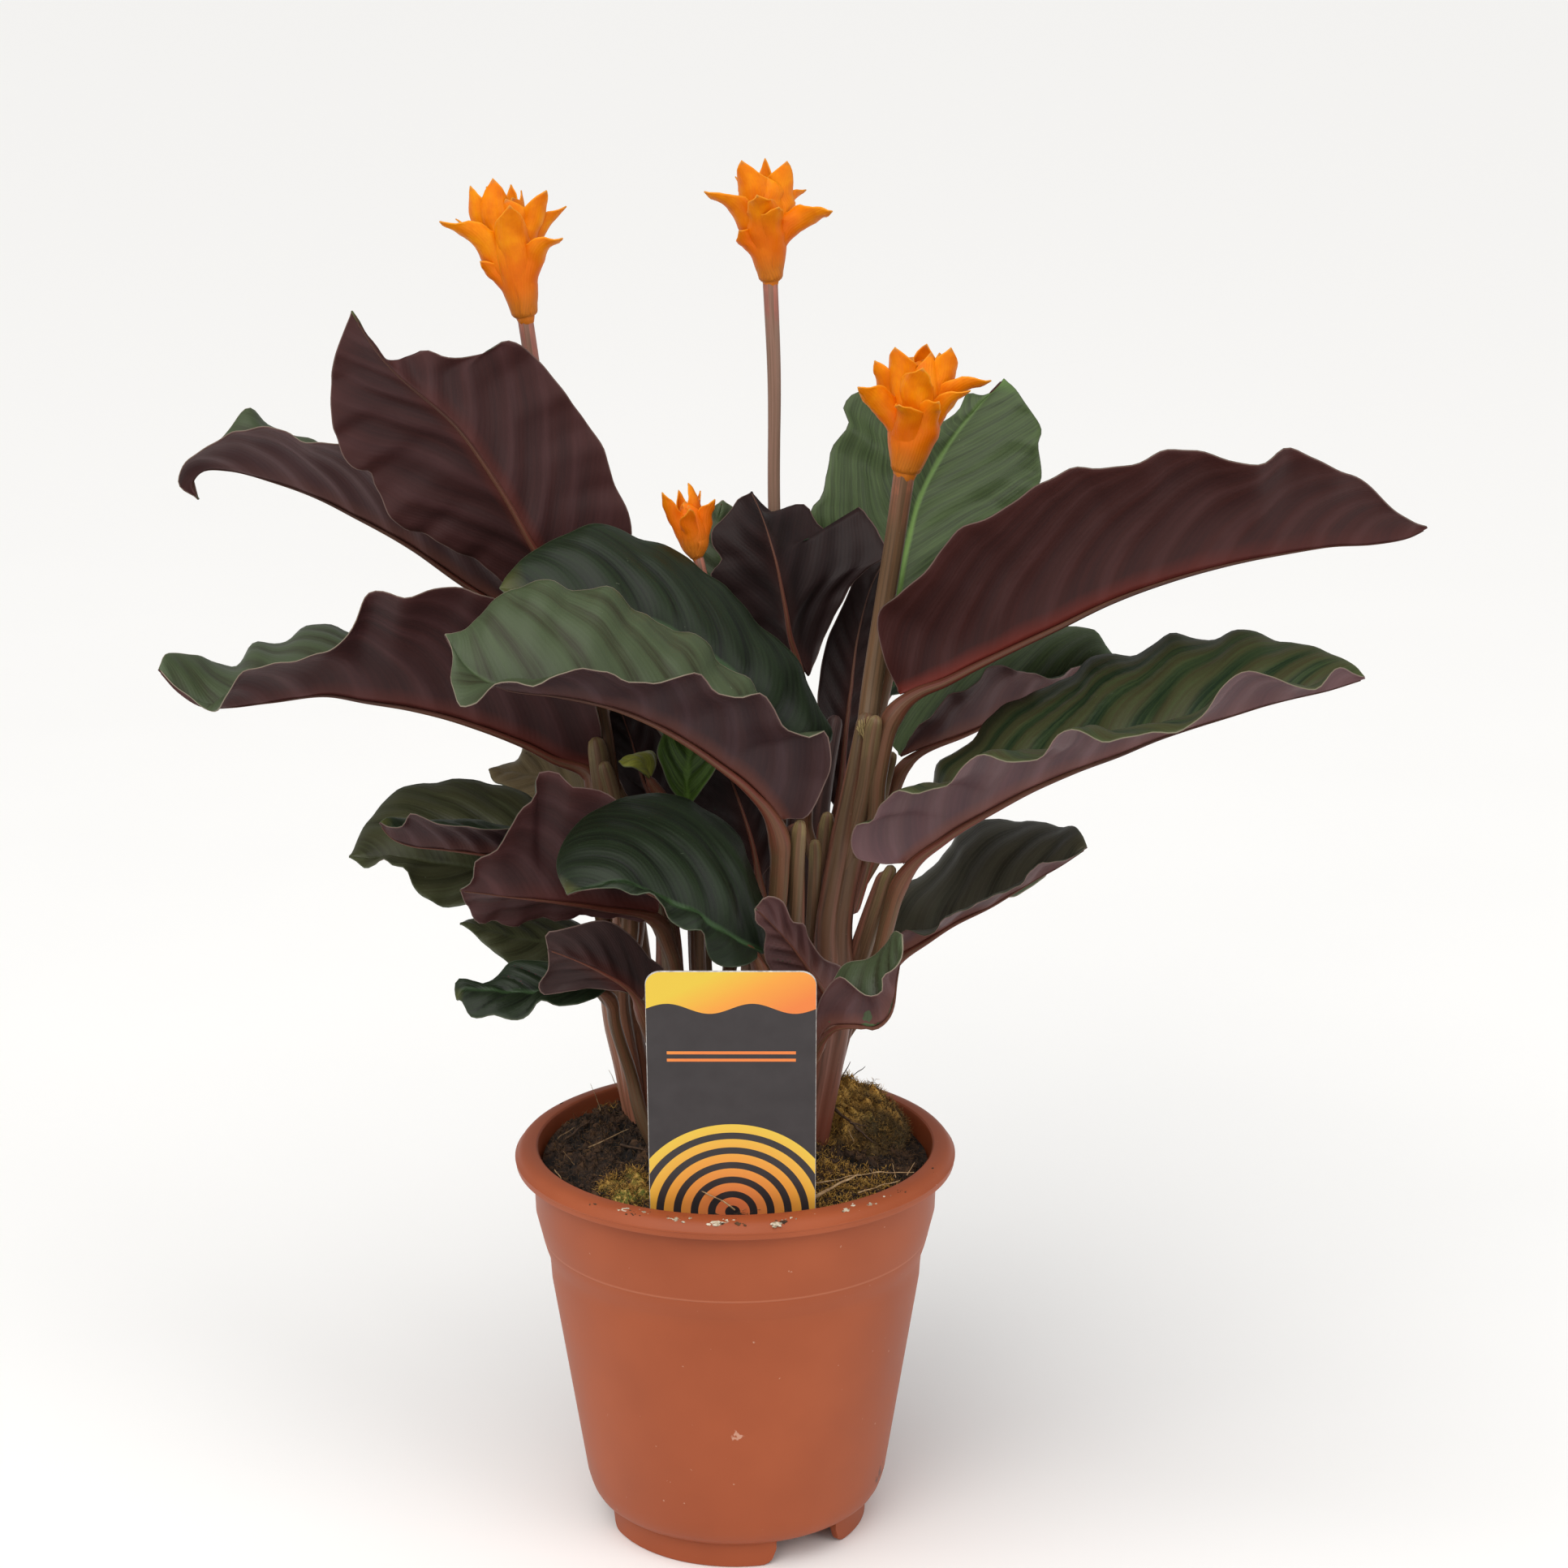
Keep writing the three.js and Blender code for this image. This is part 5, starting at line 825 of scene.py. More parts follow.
def even_curve(points, steps):
    """A centripetal Catmull-Rom curve through the points, cut into even steps. Also its length."""
    points = np.asarray(points, float)
    ends = np.vstack([2 * points[0] - points[1], points, 2 * points[-1] - points[-2]])
    fine = []
    for i in range(1, len(ends) - 2):
        p0, p1, p2, p3 = ends[i - 1:i + 3]
        gaps = np.sqrt(np.maximum(np.linalg.norm(np.diff(ends[i - 1:i + 3], axis=0), axis=1), 1e-6))
        t0, t1, t2, t3 = np.concatenate([[0], np.cumsum(gaps)])
        for t in np.linspace(t1, t2, 12, endpoint=False):
            a1 = between(p0, p1, t0, t1, t)
            a2 = between(p1, p2, t1, t2, t)
            a3 = between(p2, p3, t2, t3, t)
            b1 = between(a1, a2, t0, t2, t)
            b2 = between(a2, a3, t1, t3, t)
            fine.append(between(b1, b2, t1, t2, t))
    fine = np.array(fine + [points[-1]])
    run = run_of(fine)
    steps_at = np.linspace(0, run[-1], steps + 1)
    return np.stack([np.interp(steps_at, run, fine[:, k]) for k in range(3)], 1), run[-1]


def drawn_path(text, steps):
    """The curve through drawing points with radii, its radius at each step, and its length."""
    radii = [row[3] for row in numbers(text)]
    knots, share = np.linspace(0, 1, len(radii)), np.linspace(0, 1, steps + 1)
    path, length = even_curve(rail(text), steps)
    return path, np.interp(share, knots, radii), length


def grid_normals(grid):
    return unit(np.cross(np.gradient(grid, axis=1), np.gradient(grid, axis=0)))


def tube_faces(rings, sides):
    """Faces between successive rings of points."""
    return [(low + j, low + k, low + sides + k, low + sides + j)
            for low in range(0, (rings - 1) * sides, sides)
            for j, k in ((j, (j + 1) % sides) for j in range(sides))]


def capped_faces(rings, sides):
    """Faces of a tube of rings and of its two ends, whose middle points come last."""
    faces = tube_faces(rings, sides)
    first = rings * sides
    for j in range(sides):
        k = (j + 1) % sides
        faces += [(first, k, j), (first + 1, first - sides + j, first - sides + k)]
    return faces


def circle(radius, height, sides):
    turns = np.arange(sides) / sides * FULL_TURN
    return np.column_stack([radius * np.cos(turns), radius * np.sin(turns), np.full(sides, height)])


def solid(rings, first, last):
    """A closed solid through rings of points, from its first to its last middle point."""
    return Shape(np.concatenate(rings + [[first], [last]]), capped_faces(len(rings), len(rings[0])))


def sheet(grid, thickness, place, edge, finish=(0, 1)):
    """A closed sheet of even thickness with a rounded margin. Rows run along, columns across."""
    rows, columns = grid.shape[:2]
    count = rows * columns
    index = np.arange(count).reshape(rows, columns)
    loop = np.concatenate([index[0, :-1], index[:-1, -1], index[-1, :0:-1], index[:0:-1, 0]])
    inner_row = np.clip(loop // columns, 1, rows - 2)
    inner_column = np.clip(loop % columns, 1, columns - 2)
    flat = grid.reshape(-1, 3)
    outward = unit(flat[loop] - grid[inner_row, inner_column])
    offset = grid_normals(grid).reshape(-1, 3) * thickness / 2
    points = np.concatenate([flat + offset, flat - offset, flat[loop] + outward * thickness * 0.4])
    a, b = index[:-1, :-1].ravel(), index[:-1, 1:].ravel()
    c, d = index[1:, 1:].ravel(), index[1:, :-1].ravel()
    ring = np.arange(len(loop))
    following = np.roll(ring, -1)
    sides = [np.stack(corners, 1) for corners in (
        (a, b, c, d), (b + count, a + count, d + count, c + count),
        (loop[following], loop, ring + 2 * count, following + 2 * count),
        (loop + count, loop[following] + count, following + 2 * count, ring + 2 * count))]
    finishes = np.concatenate([np.full(len(faces), finish[k % 2]) for k, faces in enumerate(sides)])
    place, edge = place.reshape(-1, 3), edge.reshape(-1)
    return Shape(points, np.concatenate(sides).tolist(), finishes,
                 np.concatenate([place, place, place[loop]]),
                 np.concatenate([edge, edge, np.zeros(len(loop))]))


def rod(path, radii, sides=12, section=None, finish=0, along_from=0.0):
    """A closed rod with rounded ends. `section(angle, share)` scales its radius round about."""
    path, radii = np.asarray(path, float), np.asarray(radii, float)
    run, tangent = run_of(path), unit(np.gradient(path, axis=0))
    side = np.cross(tangent[0], (0, 1, 0))
    angles = np.arange(sides) / sides * FULL_TURN
    cos, sin = np.cos(angles), np.sin(angles)
    rings, places = [], []

    def ring(centre, direction, radius, share, along):
        nonlocal side
        side = unit(side - direction * side.dot(direction))
        other = np.cross(direction, side)
        scale = radius * (section(angles, share) if section else np.ones(sides))
        rings.append(centre + (side * cos[:, None] + other * sin[:, None]) * scale[:, None])
        places.append(np.column_stack(
            [cos * radius, sin * radius, np.full(sides, along + along_from)]))

    def cap(end, turn):
        """A smaller ring beyond one end; `turn` is its place on the rounding, in degrees."""
        turn = math.radians(turn)
        lift = math.sin(turn) * radii[end] * (1 if end else -1)
        ring(path[end] + tangent[end] * lift, tangent[end], radii[end] * math.cos(turn),
             -end, run[end] + lift)

    cap(0, 70)
    cap(0, 35)
    for centre, direction, radius, along in zip(path, tangent, radii, run):
        ring(centre, direction, radius, along / run[-1], along)
    cap(-1, 35)
    cap(-1, 70)
    points = np.concatenate(rings + [[rings[0].mean(0)], [rings[-1].mean(0)]])
    place = np.concatenate(places + [[places[0].mean(0)], [places[-1].mean(0)]])
    return Shape(points, capped_faces(len(rings), sides), finish, place)


# Leaves

SHOOT_PATHS = {name: drawn_path(text, 60) for name, text in SHOOTS.items()}
IN_SOIL = 125  # a stalk that starts below this height stands in the soil
NEAR_SHOOT = 9  # one that starts this close to a shoot grows out of it


def leaf_sheet(leaf, seed):
    """The blade: two halves lofted from the midrib to the margins, pleated between its veins."""
    draw = random.Random(seed)
    middle_points = rail(leaf["mid"])
    middle_length = even_curve(middle_points, 8)[1]
    rows = int(np.clip(middle_length * 0.66, 30, 105))
    middle, length = even_curve(middle_points, rows)
    along = unit(np.gradient(middle, axis=0))
    t = np.linspace(0, 1, rows + 1)
    reaches = []
    for rim in ("left", "right"):
        rim_points = np.vstack([middle_points[:1], rail(leaf[rim]), middle_points[-1:]])
        reach = even_curve(rim_points, rows)[0] - middle
        reach[0] = unit(reach[1]) * 0.7
        reach[-1] = unit(reach[-2]) * 0.25
        reaches.append(reach)
    widest = max(np.linalg.norm(reach, axis=1).max() for reach in reaches)
    half = int(np.clip(widest * 0.55, 11, 21))
    pitch = VEIN_PITCH * float(np.clip(widest / 34, 0.5, 1))
    phase = [draw.uniform(0, FULL_TURN) for _ in range(4)]
    ripples = FULL_TURN * leaf["waves"] * t
    towards_ends = np.sin(math.pi * t) ** 0.5
    grid = np.zeros((rows + 1, 2 * half + 1, 3))
    place = np.zeros_like(grid)
    edge = np.zeros(grid.shape[:2])
    for sign, reach, bow in zip((-1, 1), reaches, leaf["bow"]):
        width = np.linalg.norm(reach, axis=1)
        normal = unit(np.cross(reach * sign, along))
        for j in range(half + 1):
            s = (j / half) ** 1.15
            out = s * width
            vein = t * length - 0.75 * out - 0.5 * out * s
            drift = np.array([noise.noise(Vector((a * 0.02, b * 0.03, seed * 3.7)))
                              for a, b in zip(vein, sign * out)])
            turn = FULL_TURN * vein / pitch + phase[0] + 3.6 * drift
            pleat = (0.38 + 0.9 * np.abs(drift)) * np.cos(turn)
            pleat += 0.16 * np.exp(-((np.mod(turn / math.pi, 1) - 0.5) / 0.13) ** 2)
            wave = leaf["ruffle"] * s ** 2 * np.sin(ripples + sign + phase[2])
            wave += 0.35 * leaf["ruffle"] * s ** 3 * np.sin(ripples * 2.3 + phase[3] * sign)
            inner = np.sin(math.pi * min(s ** 0.7, 1)) ** 0.7
            lift = bow * width * 4 * s * (1 - s) + (wave + pleat * inner) * towards_ends
            lift -= 0.35 * math.exp(-(s * 9) ** 2)
            column = half + sign * j
            grid[:, column] = middle + reach * s + normal * lift[:, None]
            veins = (turn / FULL_TURN - 0.25) * VEIN_PITCH  # the same wave as the pleats
            place[:, column] = np.column_stack(
                [veins + FIRST_VEIN, sign * out + MIDRIB, t * TIP])
            edge[:, column] = np.minimum(width - out, (1 - t) * length * 2 + 0.2)
    for point in grid.reshape(-1, 3):
        point += 0.22 * np.array(noise.noise_vector(Vector(point * 0.06)))
    return grid, sheet(grid, BLADE, place, edge), middle


def rooted(points, radii):
    """Carries a stalk down from its first point, into the nearest shoot or else into the soil."""
    if points[0][2] < IN_SOIL:
        return points, radii
    gaps = [(np.linalg.norm(path - points[0], axis=1) - radius).min()
            for path, radius, _ in SHOOT_PATHS.values()]
    gap, path = min(gaps), list(SHOOT_PATHS.values())[np.argmin(gaps)][0]
    if gap < NEAR_SHOOT:
        drop = points[0][2] - 7 - 1.3 * max(gap, 0)
        foot = [path[np.abs(path[:, 2] - drop).argmin()]]
    else:
        inward = np.array([points[0][0] * 0.75 + 2, points[0][1] * 0.7, 121])
        foot = [inward, inward * [0.35, 0.35, 0.5] + points[0] * [0.65, 0.65, 0.5]]
    return np.vstack(foot + [points]), [radii[0] * 1.1] * len(foot) + list(radii)


def leaf_rib(leaf, grid, middle):
    """The stalk and, running on from it, the raised rib under the blade."""
    centre = grid.shape[1] // 2
    lower = -grid_normals(grid)[:, centre]
    t = np.linspace(0, 1, len(middle))
    stalk_radii = [row[3] for row in numbers(leaf["stalk"])] if "stalk" in leaf else [0.9]
    radius = np.maximum(stalk_radii[-1] * 0.55 * (1 - t) ** 1.2, 0.2)
    radius += (stalk_radii[-1] - radius) * np.exp(-t / 0.05)
    sink = ease(0, 0.07, t) * (radius + 0.05)
    path = grid[:, centre] + lower * sink[:, None]
    run = -1.0
    if "stalk" in leaf:
        points, widths = rooted(rail(leaf["stalk"]), stalk_radii)
        steps = 30
        stalk, run = even_curve(points, steps)
        share = np.linspace(0, 1, steps + 1)
        knots = run_of(points)
        widths = np.interp(share * knots[-1], knots, widths)
        swelling = 0.2 * np.exp(-((1 - share) * run - 7) ** 2 / 24)  # the joint below the blade
        path = np.vstack([stalk[:-1], path])
        radius = np.concatenate([widths[:-1] * (1 + swelling[:-1]), radius])
        bend = np.exp(-((run_of(path) - run) / 8) ** 2)[1:-1, None]
        for _ in range(50):  # eases the bend from stalk to midrib
            path[1:-1] += 0.5 * bend * ((path[:-2] + path[2:]) / 2 - path[1:-1])
    return rod(path[:-1], radius[:-1], 12, finish=2, along_from=-run,
               section=lambda angle, share: 1 + 0.04 * np.cos(3 * angle))


def make_leaves():
    for seed, (name, leaf) in enumerate(LEAVES.items()):
        grid, blade, middle = leaf_sheet(leaf, seed)
        piece(name, joined([blade, leaf_rib(leaf, grid, middle)]),
              [UPPER[leaf["upper"]], LOWER[leaf["lower"]], STALK])

# Shoots and flower stalks

# Each shoot is a bundle of rolled sheaths: round lobes set off its middle line, with grooves
# between. [direction in degrees, offset, radius] as shares of the shoot's radius.
LOBES = [(-60, 0.36, 0.66), (60, 0.42, 0.56), (170, 0.4, 0.6)]
# Which way the bundle faces, and how far it turns on its way up, in degrees.
TURN = {
    "shoot_left": (20, 30), "shoot_mid_left": (70, -30), "shoot_middle": (0, 20),
    "shoot_front_right": (40, 25), "shoot_mid_right": (100, 10), "shoot_right": (8, -18),
    "shoot_far_right": (60, 30), "shoot_right_small": (20, 20),
}


def shoot_shape(name):
    path, radius, _ = SHOOT_PATHS[name]
    start, turn = TURN[name]

    def section(angle, at_share):
        reach = np.zeros_like(angle)
        for direction, offset, size in LOBES:
            off = angle - math.radians(direction + start + turn * at_share)
            inside = np.maximum(size ** 2 - (offset * np.sin(off)) ** 2, 0)
            edge = np.where(inside > 0, offset * np.cos(off) + np.sqrt(inside), 0)
            reach = np.maximum(reach, edge)
        return reach + 0.008 * np.cos(angle * 22) + 0.006 * np.cos(angle * 9 + 2)

    return rod(path, radius, 66, section)


# Blunt free ends of sheaths beside the shoots, with their tips turned out: owner, radius, points.
SHEATH_TOPS = [
    ("shoot_right", 2.6, "40.6,243,11 42,254,12 43.2,264.5,12"),
    ("shoot_front_right", 2.2, "18.8,205,28.5 19.5,219,32 20.2,231.5,34"),
    ("shoot_mid_right", 2.3, "27.2,212,1 28,222,2.5 28.8,234,3.5"),
    ("shoot_mid_right", 2.0, "24.4,200,7 25,212,9 25.4,225.5,10"),
    ("shoot_far_right", 2.1, "43.6,200,15 46,208,17.5 48.4,217,18.5"),
    ("shoot_right_small", 1.9, "45,238,-7 46.8,246,-6.5 48.6,253.5,-6"),
    ("shoot_mid_left", 2.2, "-20.6,188,7 -21.2,198,9 -22.4,208,10"),
    ("shoot_left", 2.4, "-34.6,224,-3 -36.4,236,-4 -39.6,250,-5"),
    ("shoot_left", 3.2, "-38.5,230,-8 -40.5,244,-8 -42,257,-9"),
    ("shoot_middle", 1.8, "-11.4,206,2 -12.4,219,4 -13.4,232,5"),
]
# Young shoots within the clump.
INNER_SHOOTS = [
    ("shoot_middle", "2,118,-6,3.6 8,160,-8,4 11.5,195,-10,4 12,228,-13,3.4 12.5,250,-18,2.4"),
    ("shoot_mid_right",
     "14,118,-22,3.8 19,165,-18,4.4 23,205,-16,4.6 26,238,-19,4.6 31,264,-27,2.6"),
    ("shoot_mid_right", "14,150,-18,3.6 18,195,-16,4.2 19.5,232,-18,4 20,252,-22,2.6"),
]
# The shoot cut back years ago: a dry, fibrous end beside the newest stalk.
DRY_END = [40.6, 262, 10]


def sheath_top(name, radius, text):
    """One free sheath end: it comes out of its shoot, flat-backed and grooved, to a blunt tip."""
    axis, points = SHOOT_PATHS[name][0], rail(text)

    def axis_at(height):
        return axis[np.abs(axis[:, 2] - height).argmin()]

    bottom = points[0][2]
    aside = points[0] - axis_at(bottom)
    sunk = [axis_at(bottom - 40), axis_at(bottom - 20) + aside * 0.55]
    path, length = even_curve(np.vstack(sunk + [points]), 34)
    left = length - np.linspace(0, length, 35)
    out = unit(path - axis[-1]) * [1, 1, 0]
    shape = rod(
        path + out * (0.9 * np.exp(-left / 2.2))[:, None],
        radius * (1 - 0.16 * np.exp(-left / (0.5 * radius))), 20,
        lambda angle, share: 0.05 * np.cos(2 * angle) + 1
        - 0.24 * np.exp(-((np.mod(angle + 2.4, FULL_TURN) - math.pi) / 0.3) ** 2), finish=1)
    shape.place[:, 2] = length - shape.place[:, 2]  # measured down from the tip
    return shape


def dry_fibres(draw):
    fibres = []
    for _ in range(80):
        around, out = draw.uniform(0, FULL_TURN), draw.uniform(0.2, 2.4)
        cos, sin = math.cos(around), math.sin(around)
        start = at(DRY_END) + np.array([cos * out, sin * out, draw.uniform(-2.2, 0.4)])
        lean = np.array([draw.uniform(-1, 1) + cos, draw.uniform(-1, 1) + sin, 0])
        tip = start + lean * 0.5 + np.array([0, 0, draw.uniform(1.2, 3.6)])
        fibres.append(rod(np.linspace(start, tip, 3), [0.24, 0.2, 0.1], 5, finish=2))
    return fibres


def make_shoots():
    for name in SHOOTS:
        shapes = [shoot_shape(name)]
        shapes += [sheath_top(*top) for top in SHEATH_TOPS if top[0] == name]
        shapes += [rod(*drawn_path(text, 40)[:2], 24, finish=3)
                   for owner, text in INNER_SHOOTS if owner == name]
        if name == "shoot_right":
            shapes += dry_fibres(random.Random(11))
        # the left shoot gets the lighter copy of the skin, painted light against its shade
        skin = LIT_SHOOT if name == "shoot_left" else SHOOT
        piece(name, joined(shapes), [skin, SHEATH, DRY, DARK_SHOOT])


def make_flower_stalks():
    for name, text in FLOWER_STALKS.items():
        path, radius, length = drawn_path(text, 90)
        shape = rod(path, radius, 20, lambda angle, share: 1 + 0.02 * np.cos(5 * angle))
        shape.place[:, 2] = length - shape.place[:, 2]  # measured down from the flower head
        skin = OLIVE_FLOWER_STALK if name == "flower_stalk_right" else FLOWER_STALK
        piece(name, shape, [skin])


# Flower heads


def bract(head, low, high, start, tip, width, layer, draw):
    """One bract: it wraps the funnel from its foot, leaves it, and flares to a recurved point."""
    rows, columns = 28, 11
    height = np.linalg.norm(high - low)
    up = unit(high - low)
    funnel = head["funnel"]
    steps = np.linspace(0, 1, len(funnel))
    leave = min(start * 0.9 + 0.3, 0.92)
    reach = tip - (low + up * leave * height)
    outward = reach - up * reach.dot(up)
    if np.linalg.norm(outward) < 1.5:
        outward = np.array([math.cos(layer * 2.4), -abs(math.sin(layer * 2.4)) - 0.3, 0])
    outward = unit(outward - up * outward.dot(up))
    proud = 0.25 + 0.55 * (1 - start) + 0.13 * layer

    def beside(share):
        off = np.interp(share, steps, funnel) + proud * ease(0, 0.3, share)
        return low + up * share * height + outward * off

    away = tip - beside(leave)
    bend = beside(leave) + away * 0.48 + up * (0.17 * np.linalg.norm(away))
    foot = [beside(0.02), beside(leave * 0.5), beside(leave)]
    centre, length = even_curve(foot + [bend, tip], rows)
    tangent = unit(np.gradient(centre, axis=0))
    phase, crimp = draw.uniform(0, 6.28), draw.uniform(0.3, 0.75) * width / 9
    # bracts to the left and right roll their upper side towards the front
    roll = 0.75 * outward[0] + draw.uniform(-0.3, 0.3)
    slant = draw.choice([-1, 1]) * draw.uniform(0.25, 0.6)
    rag = [draw.uniform(-1, 1) for _ in range(rows + 1)]
    grid = np.zeros((rows + 1, columns, 3))
    place = np.zeros_like(grid)
    edge = np.zeros(grid.shape[:2])
    side = unit(np.cross(up, outward))
    free = leave * height / length
    blunt = free + (1 - free) * 0.3
    for i in range(rows + 1):
        u = i / rows
        out_of = float(ease(free * 0.8, min(free + 0.25, 0.98), u))
        side = unit(side - tangent[i] * side.dot(tangent[i]))
        face = unit(np.cross(side, tangent[i]))
        face = face * (1 if face.dot(outward) > 0 or face.dot(up) < 0 else -1)
        at_height = float(np.clip((centre[i] - low).dot(up) / height, 0, 1))
        hollow = (np.interp(at_height, steps, funnel) + proud) * (1 - out_of) + 0.42 * width * out_of
        near_tip = float(np.clip((u - blunt) / (1 - blunt), 0, 1))
        taper = 1 - near_tip ** 1.4
        half = min(0.62 * width * (0.75 + 0.5 * min(u / 0.4, 1)), hollow * 2.2)
        half = max(half * (taper + 0.05 * rag[i] * out_of * taper), 0.14)
        shift = slant * near_tip * (1 - near_tip) * half * 2
        cos, sin = math.cos(roll * out_of), math.sin(roll * out_of)
        face, turned_side = face * cos - side * sin, side * cos + face * sin
        for j, s in enumerate(np.linspace(-1, 1, columns)):
            angle = s * half / hollow
            ruffle = crimp * s * s * math.sin(u * 27 + phase + 1.3 * s) * out_of * min(taper * 3, 1)
            grid[i, j] = centre[i] + face * (hollow * (math.cos(angle) - 1) + ruffle)
            grid[i, j] += turned_side * (hollow * math.sin(angle) + shift)
            place[i, j] = (s * half, u * length, u * TIP)
            edge[i, j] = min(half * (1 - abs(s)), (1 - u) * length)
    return sheet(grid, 0.4, place, edge, finish=(0, 0))


def make_flowers():
    for seed, (name, head) in enumerate(FLOWER_HEADS.items()):
        draw = random.Random(100 + seed)
        low, high = rail(head["axis"])
        share = np.linspace(0, 1, 15)
        funnel = np.interp(share, np.linspace(0, 1, len(head["funnel"])), head["funnel"])
        core = rod(low + (high - low) * share[:, None], funnel * 0.97, 28,
                   lambda angle, at_share: 1 + 0.025 * np.cos(7 * angle + 5 * at_share))
        core.place = core.place[:, [0, 2, 1]] * [2, 1, 0]
        shapes = [core]
        for layer, (start, x, z, near, width) in enumerate(numbers(head["bracts"])):
            shapes.append(bract(head, low, high, start, at([x, z, near]), width, layer % 5, draw))
        # short bracts of the crown, still closed round the buds
        up, size = unit(high - low), np.linalg.norm(high - low) / 26
        for k in range(5):
            turn = FULL_TURN * (k + draw.uniform(-0.2, 0.2)) / 5
            out = np.array([math.cos(turn), math.sin(turn), 0])
            tip = high + up * draw.uniform(4, 7.5) * size + out * draw.uniform(2, 4) * size
            shapes.append(bract(head, low, high, 0.62, tip, 8 * size, k, draw))
        piece(name, joined(shapes), [BRACT])


# Pot

POT_FLOOR, POT_WALL, POT_SIDES = 8.5, 1.6, 144
RIM_HEIGHT, RIM_CROWN = 127.85, 64.5  # height and radius of the rim's top
# Its outline as radius,height: up the outside, over the rim and down the inside.
POT_OUTLINE = """42.7,8.5 44.4,9.3 45.9,10.6 47,12.4 47.8,14.6 48.6,17.5 59,84 59.25,88 59.5,91
    59.9,92.6 60.9,95.6 61.45,97.6 61.6,98.6 61.75,98.8 61.85,99.4 63.7,107 64.2,121 64.6,121.7
    65.4,122 69,122.1 69.5,122.3 69.7,122.8 69.75,124 69.95,124.2 69.95,124.6 69.6,124.9
    68.9,126.1 68.1,127 67,127.6 65.6,127.9 64.2,128 63.3,127.9 62.8,127.5 62.35,126.4
    61.9,107.6 59.8,98.4 57.9,91.2 57.4,84 47,17.6 46,14.4 44.6,12.4 43.2,11 42,10.1"""
FOOT_RADIUS, FOOT_WIDTH = 42, 2.4
FOOT_ARC, FOOT_DIRECTIONS = 88.5, (4, 124, 244)  # degrees
DRAIN_RADIUS, DRAIN_COUNT, DRAIN_CIRCLE = 4.5, 6, 28


def foot(middle):
    """One arc of the foot ring; its lower corners are rounded."""
    steps, rounding, corner = 48, 5.0, 0.5
    inner, half = FOOT_RADIUS - FOOT_WIDTH, math.radians(FOOT_ARC) / 2
    points = []
    for i, angle in enumerate(math.radians(middle) + np.linspace(-half, half, steps + 1)):
        from_end = min(i, steps - i) / steps * 2 * half * FOOT_RADIUS
        short = max(rounding - from_end, 0) / rounding
        low = rounding * (1 - math.sqrt(max(1 - short ** 2, 0)))
        points += [[r * math.cos(angle), r * math.sin(angle), z] for r, z in (
            (inner, POT_FLOOR + corner), (inner, low + corner), (inner + corner, low),
            (FOOT_RADIUS - corner, low), (FOOT_RADIUS, low + corner),
            (FOOT_RADIUS, POT_FLOOR + corner))]
    size = 6
    ends = [range(size - 1, -1, -1), range(steps * size, (steps + 1) * size)]
    return Shape(points, tube_faces(steps + 1, size) + ends)


# Flecks on the rim: degrees about the pot, radius, across, and 1 for dried lime or 2 for peat.
RIM_FLECKS = """-119,66.8,1.6,1 -116,67.6,1,2 -113.5,66.2,0.8,1 -104.5,67.4,1.5,1 -101,66.5,0.9,1
    -93.5,67.6,2,1 -91,66.7,1.2,1 -88.5,68,0.9,2 -79,68.6,1.6,1 -77,68.2,1,2 -75,67,0.7,1
    -59.5,67.3,1.4,1 -57,66.4,0.9,1 -52,67.5,1.2,1 -46.5,66.5,0.6,1 -41,67,0.8,2 -128,67.5,0.7,2
    -22,66.5,0.7,2 150,66.5,0.9,2 95,67,1.1,1 60,66.6,0.8,2"""


def fleck(degrees, radius, across, kind):
    """A small irregular crust lying on the rim."""
    angle = math.radians(degrees)
    radial = np.array([math.cos(angle), math.sin(angle), 0])
    tangent = np.array([-radial[1], radial[0], 0])
    rows, columns = (6, 8) if across > 0.5 else (4, 5)
    grid = np.zeros((rows, columns, 3))
    for i, u in enumerate(np.linspace(-1, 1, rows)):
        for j, v in enumerate(np.linspace(-1, 1, columns)):
            size = across * (1 + 0.35 * bumps(u, v, degrees, 1.7))
            spot = radial * (radius + u * 0.42 * size * math.sqrt(1 - v * v * 0.7))
            spot += tangent * v * size * math.sqrt(1 - u * u * 0.7)
            spot[2] = RIM_HEIGHT - 0.13 * max(np.linalg.norm(spot[:2]) - RIM_CROWN, 0) ** 1.55
            spot[2] += 0.35 * noise.noise(Vector(spot * 1.1))
            grid[i, j] = spot
    return sheet(grid, 0.5, grid, np.full((rows, columns), FAR), finish=(kind, kind))


def make_pot():
    rings = [circle(radius, height, POT_SIDES) for radius, height in numbers(POT_OUTLINE)]
    body = solid(rings, (0, 0, POT_FLOOR), (0, 0, POT_FLOOR + POT_WALL))
    feet = [foot(middle) for middle in FOOT_DIRECTIONS]
    pot = piece("pot", joined([body] + feet), [PLASTIC])
    cut_away(pot, joined([
        rod([[DRAIN_CIRCLE * math.cos(a), DRAIN_CIRCLE * math.sin(a), z] for z in (2, 16)],
            [DRAIN_RADIUS] * 2, 24) for a in np.arange(DRAIN_COUNT) / DRAIN_COUNT * FULL_TURN]))
    draw = random.Random(21)
    flecks = []
    for degrees, radius, across, kind in numbers(RIM_FLECKS):
        flecks.append(fleck(degrees, radius, across, kind))
        for _ in range(4):  # crumbs broken off it
            flecks.append(fleck(
                degrees + draw.uniform(-2.6, 2.6), radius + draw.uniform(-1, 1),
                across * draw.uniform(0.18, 0.4), kind if draw.random() < 0.8 else 2))
    piece("rim_flecks", joined(flecks), [PLASTIC, LIME, PEAT], node="soil")


